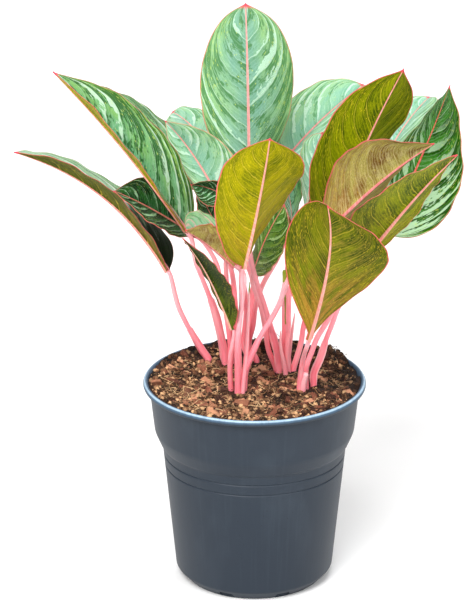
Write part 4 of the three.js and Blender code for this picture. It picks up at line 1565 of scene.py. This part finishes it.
BLADES: tuple[Blade, ...] = (
    Blade("crown", (-4, 46, 298), (-5, 57, 367), (-7, 62, 438), (0.26, -0.96, 0.12),
          37, -9, -39, 0.02, 1.1, 0.07, 0.03, 0.8, Upper.CROWN, Under.OLIVE),
    Blade("back_right", (7, 70, 287), (42, 106, 323), (87, 144, 352), (-0.22, -0.51, 0.83),
          31, 36, -12, 0.04, 1.05, 0.07, 0.02, 0.8, Upper.SILVER, Under.OLIVE),
    Blade("back_left", (-22, 104, 278), (-41, 132, 311), (-65, 150, 328), (0.52, -0.35, 0.78),
          29, 12, -30, -0.21, 1.06, 0.12, 0.02, 0.8, Upper.SILVER, Under.OLIVE),
    Blade("left_pale", (-26, 42, 287), (-46, 49, 322), (-68, 50, 350), (0.07, -0.98, 0.2),
          22, 33, -39, 0.3, 0.75, 0.05, 0.09, 0.5, Upper.SILVER, Under.OLIVE),
    Blade("left_rear", (-36, 62, 286), (-80, 76, 329), (-122, 76, 370), (0.66, -0.21, 0.72),
          30, 8, 34, 0.06, 1.02, 0.08, 0.03, 0.8, Upper.MINT, Under.OLIVE),
    Blade("left_high", (-51, 20, 271), (-95, 0, 341), (-147, -10, 405), (0.81, -0.29, 0.51),
          32, 33, 17, 0.03, 0.84, 0.03, 0.1, 0.8, Upper.GREEN, Under.GOLD),
    Blade("left_long", (-66, 46, 230), (-116, 58, 288), (-182, 42, 328), (0.62, 0.27, 0.74),
          32, 18, 25, 0.28, 0.77, 0.03, 0.05, 0.8, Upper.SHADED_FOOT, Under.MOSS),
    Blade("left_dark", (-45, 40, 261), (-78, 28, 287), (-106, 17, 305), (0.58, -0.41, 0.7),
          27, 22, 2, -0.07, 1.02, 0.08, 0.15, 0.8, Upper.NIGHT, Under.MOSS),
    Blade("right_high", (54, 8, 271), (79, -4, 343), (107, -27, 412), (-0.4, 0.85, 0.35),
          38, 29, -54, -0.13, 0.91, 0.06, 0.1, 0.8, Upper.GREEN, Under.LIME),
    Blade("right_rear", (81, 60, 272), (108, 91, 320), (137, 120, 349), (-0.63, -0.33, 0.7),
          32, 22, 20, 0.23, 1.1, 0.1, 0.02, 0.8, Upper.SILVER, Under.OLIVE),
    Blade("right_dark", (98, 22, 268), (125, 25, 330), (145, 32, 383), (-0.77, -0.53, 0.35),
          37, -8, -60, 0.19, 0.93, 0.02, 0.05, 0.8, Upper.DEEP, Under.MOSS),
    Blade("right_brown", (53, -18, 284), (93, -35, 331), (128, -54, 364), (-0.25, 0.77, 0.58),
          31, 30, 43, 0.16, 1.17, 0.02, 0.13, 0.8, Upper.DEEP, Under.BROWN),
    Blade("right_olive", (83, -30, 271), (114, -51, 321), (144, -62, 358), (-0.54, 0.59, 0.59),
          35, 8, 28, 0.25, 0.81, 0.03, 0.02, 0.8, Upper.GREEN, Under.LIME),
    Blade("front_right", (40, -41, 207), (53, -74, 281), (51, -97, 331), (0.36, 0.86, 0.35),
          44, 21, -70, -0.02, 1.08, 0.17, 0.1, 0.8, Upper.GREEN, Under.OLIVE),
    Blade("front_mid", (-9, -40, 264), (3, -65, 328), (10, -78, 375), (-0.43, 0.83, 0.37),
          35, 13, -60, -0.05, 1.01, 0.04, 0.08, 0.8, Upper.GREEN, Under.GOLD),
    Blade("low_left", (-16, -25, 210), (-34, -27, 254), (-53, -39, 287), (0.78, 0.44, 0.44),
          22, 4, -3, -0.28, 1.05, 0.04, 0.08, 0.5, Upper.NIGHT, Under.SHADE),
    Blade("curled", (-14, -34, 263), (-35, -32, 281), (-51, -42, 294), (0.59, 0.28, 0.76),
          23, 45, 24, 0.14, 1.03, 0.07, 0.04, 0.5, Upper.BLUSH, Under.BROWN),
    Blade("inner_left", (-13, 16, 294), (-31, 22, 304), (-48, 19, 309), (-0.15, -0.99, 0.04),
          14, 41, -28, 0.02, 0.99, 0.08, 0.06, 0.5, Upper.NIGHT, Under.MOSS),
    Blade("inner_mid", (-1, 14, 241), (8, 4, 272), (22, 2, 299), (-0.85, -0.47, 0.23),
          19, -4, 8, 0.24, 1.03, 0.02, 0.04, 0.5, Upper.FERN, Under.MOSS),
    Blade("inner_right", (28, 22, 271), (25, 27, 302), (13, 30, 333), (0.87, -0.42, 0.27),
          19, 8, -28, 0.07, 1.08, 0.16, 0.05, 0.5, Upper.MINT, Under.OLIVE),
    Blade("inner_brown", (-24, 26, 266), (-34, 27, 285), (-43, 30, 303), (0.7, -0.56, 0.45),
          12, 4, 10, -0.04, 1.04, 0.1, 0.06, 0.5, Upper.NIGHT, Under.SHADE),
    Blade("far_back", (39, 44, 278), (44, 50, 309), (51, 50, 341), (-0.9, -0.38, 0.21),
          18, 10, 31, -0.08, 1.08, 0.17, 0.05, 0.5, Upper.SILVER, Under.OLIVE),
)


# ---- shoots -------------------------------------------------------------------------------------


def smooth_path(points: Sequence[Row], count: int) -> tuple[np.ndarray, np.ndarray, np.ndarray]:
    """Draws one smooth curve through points, evenly spaced along its length.

    Args:
        points: The points that it passes.
        count: How many places are returned.

    Returns:
        The places, and at each the unit directions across the curve and out of it.
    """
    given = np.array(points, float)
    ends = np.vstack([2 * given[0] - given[1], given, 2 * given[-1] - given[-2]])
    fine: list[np.ndarray] = []
    for i in range(len(given) - 1):
        p0, p1, p2, p3 = ends[i : i + 4]
        d0, d1, d2 = (max(np.linalg.norm(b - a) ** 0.5, 1e-4) for a, b in ((p0, p1), (p1, p2), (p2, p3)))
        m1 = ((p1 - p0) / d0 - (p2 - p0) / (d0 + d1) + (p2 - p1) / d1) * d1
        m2 = ((p2 - p1) / d1 - (p3 - p1) / (d1 + d2) + (p3 - p2) / d2) * d1
        u = np.linspace(0, 1, 24, endpoint=i == len(given) - 2)[:, None]
        held = (2 * u**3 - 3 * u**2 + 1) * p1 + (3 * u**2 - 2 * u**3) * p2
        fine.append(held + (u**3 - 2 * u**2 + u) * m1 + (u**3 - u**2) * m2)
    line = np.concatenate(fine)
    length = np.concatenate([[0], np.cumsum(np.linalg.norm(np.diff(line, axis=0), axis=1))])
    at = np.linspace(0, length[-1], count)
    places = np.column_stack([np.interp(at, length, line[:, k]) for k in range(3)])
    along = unit(np.gradient(places, axis=0))
    across = unit(np.array([1.0, 0.0, 0.0]) - along[:, :1] * along)
    return places, across, np.cross(along, across)


def shoot_part(name: str, rings: Sequence[np.ndarray], *marks: np.ndarray) -> bpy.types.Mesh:
    """Makes one part of a shoot, with the marks that its finish is drawn from.

    Args:
        name: The mesh's name.
        rings: Its rings, one after another.
        marks: For each point: the place along and round it with its own number, how thin it is
            as a sheath's edge, and how green it is.

    Returns:
        The mesh.
    """
    made = mesh_of(name, *loft(rings))
    for key, values in zip(("stalk", "wing", "leafy"), marks):
        store(made, key, values)
    return made


@dataclass
class Stalk:
    """One pink leaf stalk, sheathed low down, that carries the blade of the same name."""

    name: str
    foot: Pair
    wing: float
    sheath: float
    via: tuple[Row, ...]
    lead: float = 8.0  # how far its top runs straight in line with the midrib
    grip: float = 1.0  # how far its top reaches past the base of the midrib
    rise: float = 10.0  # how far it first rises straight
    foot_z: float = 146.5
    low_r: float = 2.3
    high_r: float = 1.65
    flat: float = 0.8
    joint: float = 19.0
    steps: int = 64

    def route(self, blade: Blade) -> list[Row]:
        """Lists the points that the stalk passes.

        Args:
            blade: The blade that it carries.

        Returns:
            The points from its foot to the base of the blade.
        """
        places, along = blade.curve(np.array([0.0]))
        heading = along[0]
        end = places[0] + self.grip * heading
        via = [p for p in self.via if np.linalg.norm(np.array(p) - end) > self.joint]
        x, y = self.foot
        straight = tuple(end - self.lead * heading)
        return [(x, y, self.foot_z), (x, y, self.foot_z + self.rise), *via, straight, tuple(end)]

    @staticmethod
    def section(radius: float, flat: float, wing: float, upper: float) -> np.ndarray:
        """Returns the stalk's cross-section, open towards its upper side where it is a sheath.

        Args:
            radius: Half the stalk's width.
            flat: How thick it is for its width.
            wing: How far the sheath's edges stand out.
            upper: 1 or -1, the way its upper side looks.

        Returns:
            Rows of across and out, in millimetres.
        """
        share = min(1.0, wing)
        rim = wing / radius
        half = [(math.cos(a), math.sin(a) * flat) for a in np.radians([-72, -54, -36, -18, 0])]
        plain = [(math.cos(a), math.sin(a) * flat) for a in np.radians([10, 20, 32, 46, 62, 76])]
        open_ = [
            (1.0 + 0.45 * rim, 0.24),
            (1.0 + 0.85 * rim, 0.52 + 0.3 * rim),
            (0.92 + 0.80 * rim, 0.58 + 0.34 * rim),
            (0.76 + 0.10 * rim, 0.46),
            (0.46, 0.36),
            (0.22, 0.32),
        ]
        half += [tuple(np.array(a) + (np.array(b) - np.array(a)) * share) for a, b in zip(plain, open_)]
        top = flat + (0.31 - flat) * share
        ring = [(0.0, -flat), *half, (0.0, top)] + [(-a, b) for a, b in reversed(half)]
        return np.array([(a * radius, b * radius * upper) for a, b in ring])

    def build(self, blade: Blade) -> bpy.types.Mesh:
        """Makes the stalk.

        Args:
            blade: The blade that it carries.

        Returns:
            The stalk's mesh.
        """
        places, across, out = smooth_path(self.route(blade), self.steps)
        upper = 1.0 if out[int(0.7 * self.steps), 2] >= 0 else -1.0
        s = np.linspace(0, 1, self.steps)
        seed = blade.seed()
        end = self.sheath
        rings, marks, wings = [], [], []
        for i, share in enumerate(s):
            radius = self.low_r + (self.high_r - self.low_r) * share + 0.1 * math.sin(9 * share + seed)
            flare = 1 + 0.1 * (1 - float(ease(share, 0.0, 0.14)))
            open_ = float(ease(share, 0.04, 0.12) * (1 - ease(share, end - 0.025, end)))
            wing = self.wing * open_ * (1 - 0.3 * share / end) * (1 + 0.12 * math.sin(25 * share + seed))
            flat = self.flat + (1 - self.flat) * share
            section = self.section(radius * flare, flat, wing, upper)
            rings.append(places[i] + section[:, :1] * across[i] + section[:, 1:] * out[i])
            count = len(section)
            round_ = np.abs(np.linspace(-1, 1, count, endpoint=False))
            marks.append(np.column_stack([np.full(count, share), round_, np.full(count, seed)]))
            tips = np.zeros(count)
            tips[[7, 8, count - 8, count - 7]] = open_
            wings.append(tips)
        wings = np.concatenate(wings)
        return shoot_part(f"stalk_{self.name}", rings, np.concatenate(marks), wings, 0 * wings)


@dataclass
class Spear:
    """A new leaf still rolled up, a sheath's end or an old cut stalk, standing among the stalks."""

    name: str
    points: tuple[Row, ...]
    low_r: float
    high_r: float
    green: float = 9.0  # the share of its length from which it is green, or 9 for never
    steps: int = 40
    around: int = 28
    seed: float = 5.0
    thin: float = 0.4
    wind: float = 1.1  # how many times its free edge winds round it

    def build(self) -> bpy.types.Mesh:
        """Makes the rolled leaf, its free edge winding up round it.

        Returns:
            Its mesh.
        """
        places, across, out = smooth_path(self.points, self.steps)
        count = self.around
        angles = np.linspace(0, 2 * math.pi, count, endpoint=False)
        rings, marks, leafy = [], [], []
        for i in range(self.steps):
            share = i / (self.steps - 1)
            radius = self.low_r + (self.high_r - self.low_r) * share**1.6
            radius *= 1 - 0.35 * float(ease(share, 0.95, 1.0))
            lip = (angles / (2 * math.pi) + self.wind * share) % 1.0
            r = (radius * (0.88 + 0.16 * lip))[:, None]
            x, y = np.cos(angles)[:, None], np.sin(angles)[:, None]
            rings.append(places[i] + r * x * across[i] + r * y * out[i])
            round_ = np.abs(np.cos(angles / 2))
            marks.append(np.column_stack([np.full(count, share), round_, np.full(count, self.seed)]))
            leafy.append(np.full(count, float(ease(share, self.green, self.green + 0.25))))
        thin = np.full(count * self.steps, self.thin)
        return shoot_part(f"spear_{self.name}", rings, np.concatenate(marks), thin, np.concatenate(leafy))


@dataclass
class Shoot:
    """One shoot: a cane under the soil with its stalks and rolled leaves."""

    name: str
    at: Pair
    radius: float
    stalks: tuple[Stalk, ...]
    spears: tuple[Spear, ...] = ()
    bottom: float = 120.0
    top: float = 150.5
    clear: float = 0.3  # how far the cane stays inside its own radius
    scar: float = 0.25  # how far its rings stand out
    pitch: float = 1.3  # how close they follow, in radians a millimetre
    steps: int = 24
    around: int = 32

    def cane(self) -> bpy.types.Mesh:
        """Makes the ringed cane that stands in the soil.

        Returns:
            Its mesh.
        """
        rings = []
        for z in np.linspace(self.bottom, self.top, self.steps):
            radius = self.radius - self.clear + self.scar * math.sin(z * self.pitch)
            end = 1 - 0.5 * float(ease(z, self.top - 2.5, self.top))
            rings.append(circle(self.around, radius * end, z, self.at))
        height = np.concatenate(rings)[:, 2]
        none = 0 * height
        marks = np.column_stack([none, height / 10, none])
        return shoot_part(f"cane_{self.name}", rings, marks, none, none)

    def build(self, blades: dict[str, Blade]) -> bpy.types.Object:
        """Makes the shoot.

        Args:
            blades: All blades by name.

        Returns:
            The piece.
        """
        parts = [self.cane()]
        parts += [stalk.build(blades[stalk.name]) for stalk in self.stalks]
        parts += [spear.build() for spear in self.spears]
        piece = keep(f"stalks_{self.name}", merge(f"stalks_{self.name}", parts))
        piece.data.materials.append(STALK.material())
        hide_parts(f"shoot_{self.name}")
        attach(piece, BODY)
        report(piece)
        return piece


SHOOTS: tuple[Shoot, ...] = (
    Shoot("left", (-36, 47), 4.6, (
        Stalk("left_long", (-36, 47), 1.3, 0.45, (
            (-41, 47, 165), (-48, 47, 178), (-54, 47, 190),
            (-59, 47, 202), (-63, 46, 217),
        ), 3.0),
    )),
    Shoot("left_mid", (-20, 44), 7.6, (
        Stalk("left_high", (-23, 42), 1.5, 0.52, (
            (-24, 42, 167), (-27, 40, 184), (-30, 38, 198), (-35, 35, 215),
            (-40, 31, 230), (-45, 27, 245), (-49, 23, 259),
        )),
        Stalk("left_dark", (-18, 43), 0.2, 0.3, (
            (-19, 43, 175), (-22, 43, 198), (-26, 43, 220),
            (-29, 42, 238), (-34, 41, 254),
        )),
        Stalk("left_rear", (-18, 46), 0.2, 0.3, (
            (-14, 49, 177), (-15, 52, 205), (-17, 54, 225), (-22, 56, 244),
        )),
        Stalk("inner_brown", (-20, 48), 0.1, 0.3, (
            (-17, 53, 175), (-20, 50, 206), (-22, 40, 238),
        )),
    )),
    Shoot("front", (-12.5, -15), 9.0, (
        Stalk("low_left", (-18, -13), 0.1, 0.3, (
            (-18.5, -14, 166), (-18.5, -17, 181), (-17.5, -21, 196),
        ), 3.0),
        Stalk("front_mid", (-13, -18), 0.2, 0.3, (
            (-13, -20, 175), (-13, -26, 198), (-11, -32, 222),
            (-10, -35, 237), (-9, -38, 251),
        )),
        Stalk("curled", (-12, -15), 0.1, 0.3, (
            (-12, -17, 182), (-12, -22, 208), (-10, -27, 230), (-11, -31, 248),
        )),
        Stalk("right_brown", (-8, -13), 1.0, 0.36, (
            (-7, -14, 172), (-1, -15, 188), (5, -16, 202), (13, -16, 216),
            (19, -17, 229), (23, -18, 243), (36, -18, 267),
        )),
    ), (
        Spear("front", (
            (-9, -17, 147), (-9, -17, 157), (-6, -14, 191), (-5, -13, 212), (-4, -13, 243),
        ), 2.0, 0.5, 0.8),
        Spear("stub", ((19, -17, 226), (22, -17, 243), (22, -17, 254)), 1.9, 1.7, 0.55),
    )),
    Shoot("back", (-2, 46.5), 7.7, (
        Stalk("far_back", (2, 46), 0.2, 0.3, (
            (-4, 46, 170), (-1, 46, 186), (1, 47, 202),
            (7, 48, 220), (18, 52, 239), (27, 56, 259),
        )),
        Stalk("back_right", (0, 47), 1.5, 0.46, (
            (-5, 48, 169), (-3, 51, 184), (-3, 54, 200),
            (0, 57, 217), (4, 60, 233), (7, 65, 258),
        )),
        Stalk("back_left", (-4, 49), 0.2, 0.3, (
            (-8, 52, 167), (-7, 56, 182), (-6, 62, 197),
            (-8, 70, 211), (-12, 80, 226), (-16, 92, 244),
        )),
        Stalk("inner_left", (-2, 44), 0.1, 0.3, (
            (-6, 42, 175), (-6, 37, 196), (-8, 29, 221),
            (-11, 22, 247), (-13, 17, 272),
        )),
    )),
    Shoot("mid", (23, 25.5), 11.6, (
        Stalk("crown", (19, 23), 1.3, 0.28, (
            (18, 20, 172), (15, 16, 187), (11, 9, 204), (7, 3, 220),
            (3, -2, 234), (-1, -4, 249), (-4, 3, 264), (-4, 26, 283),
        )),
        Stalk("left_pale", (23, 28), 0.3, 0.3, (
            (17, 28, 171), (12, 28, 187), (7, 28, 202), (2, 29, 218),
            (-4, 32, 237), (-13, 35, 260), (-23, 37, 282),
        )),
        Stalk("inner_mid", (17, 27), 0.1, 0.3, (
            (11, 26, 173), (8, 25, 193), (5, 21, 210), (1, 17, 225),
        )),
        Stalk("right_high", (26, 24), 1.1, 0.26, (
            (25, 22, 175), (26, 21, 190), (26, 19, 207),
            (27, 15, 227), (36, 11, 251),
        )),
        Stalk("inner_right", (24, 24), 0.1, 0.3, (
            (23, 25, 174), (23, 25, 194), (23, 25, 215), (25, 24, 241),
        )),
        Stalk("right_rear", (30, 27), 0.3, 0.3, (
            (33, 28, 167), (36, 30, 178), (38, 32, 191),
            (45, 36, 215), (53, 40, 235), (66, 46, 254),
        )),
    ), (
        Spear("mid", ((24, 20, 147), (24, 20, 157), (20, 16, 180), (20, 14, 194)), 2.2, 0.5),
        Spear("tip", ((25, 26, 152), (27, 26, 172), (29, 26, 189), (31, 26, 204)), 2.0, 0.5),
        Spear("sliver", ((25, 21, 190), (24, 20, 210), (23, 19, 222)), 1.5, 0.6, 0.1),
    )),
    Shoot("right", (39.5, -7.5), 11.0, (
        Stalk("front_right", (34, -13), 0.2, 0.4, (
            (35, -15, 170), (36, -20, 182), (37, -26, 190),
        )),
        Stalk("right_olive", (39, -9), 0.3, 0.3, (
            (39, -9, 172), (43, -9, 185), (47, -10, 197),
            (54, -13, 211), (66, -20, 239),
        )),
        Stalk("right_dark", (45, -3), 1.2, 0.34, (
            (45, -2, 165), (50, -1, 178), (54, 1, 191), (59, 3, 204),
            (63, 5, 215), (72, 9, 231), (84, 15, 251),
        )),
    ), (
        Spear("knob", ((36, -13, 147), (37, -14, 162), (39, -15, 171)), 2.6, 2.3),
    )),
)


# ---- studio -------------------------------------------------------------------------------------


def hang(name: str, data: bpy.types.ID, way: Vector) -> bpy.types.Object:
    """Puts a lamp or a camera in the scene.

    Args:
        name: Its name.
        data: Its lamp or camera data.
        way: The way that it looks.

    Returns:
        The new object.
    """
    made = bpy.data.objects.new(name, data)
    made.rotation_euler = way.to_track_quat("-Z", "Y").to_euler()
    bpy.context.scene.collection.objects.link(made)
    return made


@dataclass
class Studio:
    """A pale floor, soft lights and the camera at the photo's angle."""

    distance: float = 2.0
    elevation: float = 20.3
    aim: Row = (-0.013, 0.0, 0.224)
    focal_pixels: float = 2650.0
    frame_pixels: float = 600.0
    sensor: float = 36.0
    floor_half: float = 6.0
    air: float = 0.5  # the strength of the white air all round
    lit: Row = (0.0, 0.0, 0.2)  # the point that the lamps look at

    def camera(self) -> None:
        """Makes the camera and sets it as the scene's."""
        data = bpy.data.cameras.new("studio_camera")
        data.sensor_width = self.sensor
        data.lens = self.focal_pixels * self.sensor / self.frame_pixels
        tilt = math.radians(self.elevation)
        back = Vector((0.0, -math.cos(tilt), math.sin(tilt)))
        made = hang("studio_camera", data, -back)
        made.location = Vector(self.aim) + back * self.distance
        bpy.context.scene.camera = made

    def lamp(self, name: str, place: Row, size: float, power: float, colour: Row = (1.0, 1.0, 1.0)) -> None:
        """Hangs a large soft lamp that looks at the plant.

        Args:
            name: The lamp's name.
            place: Where it hangs, in metres.
            size: The length of its side, in metres.
            power: Its power in watts.
            colour: Its colour.
        """
        data = bpy.data.lights.new(name, "AREA")
        data.size, data.energy, data.color = size, power, colour
        hang(name, data, Vector(self.lit) - Vector(place)).location = place

    def sky(self, place: Row, strength: float) -> None:
        """Hangs the wide even light that reaches the floor and the plant alike.

        Args:
            place: The way that it comes from.
            strength: Its strength.
        """
        data = bpy.data.lights.new("sky_light", "SUN")
        data.energy, data.angle = strength, math.radians(28)
        hang("sky_light", data, -Vector(place))

    def build(self) -> None:
        """Sets up the floor, the light and the camera."""
        half = self.floor_half
        floor = bpy.data.meshes.new("studio_floor")
        corners = [(-half, -half, 0), (half, -half, 0), (half, half, 0), (-half, half, 0)]
        floor.from_pydata(corners, [], [[0, 1, 2, 3]])
        floor.materials.append(FloorFinish("studio_floor").material())
        keep("studio_floor", floor)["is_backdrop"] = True
        world = bpy.data.worlds.new("studio_air")
        world.use_nodes = True
        air = world.node_tree.nodes["Background"].inputs
        air["Color"].default_value = (1.0, 1.0, 1.0, 1.0)
        air["Strength"].default_value = self.air
        bpy.context.scene.world = world
        bpy.context.scene.view_settings.view_transform = "Standard"
        self.sky((-0.22, -0.80, 1.0), 2.1)
        self.lamp("key_lamp", (-0.8, -1.3, 1.2), 0.7, 13.0, (1.0, 0.98, 0.95))
        self.lamp("fill_lamp", (1.1, -1.2, 1.0), 0.8, 12.0)
        self.lamp("back_lamp", (0.3, 1.5, 1.4), 1.0, 12.0)
        self.camera()


# ---- the plant ----------------------------------------------------------------------------------


@dataclass
class Evergreen:
    """The whole potted plant."""

    blades: tuple[Blade, ...] = BLADES
    shoots: tuple[Shoot, ...] = SHOOTS

    def build(self) -> None:
        """Builds the pot, the soil, the shoots and the blades in that order."""
        NurseryPot().build()
        feet = {shoot.name: (*shoot.at, shoot.radius) for shoot in self.shoots}
        SoilBed(feet).build()
        by_name = {blade.name: blade for blade in self.blades}
        for shoot in self.shoots:
            shoot.build(by_name)
        for blade in self.blades:
            piece = blade.build()


def main(before: tuple[Vector, Vector]) -> None:
    """Builds the plant and the studio.

    Args:
        before: The frame's own box; not used.
    """
    logging.basicConfig(level=logging.INFO, format="%(name)s: %(message)s")
    Evergreen().build()
    Studio().build()


if __name__ == "__main__":
    main(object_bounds())
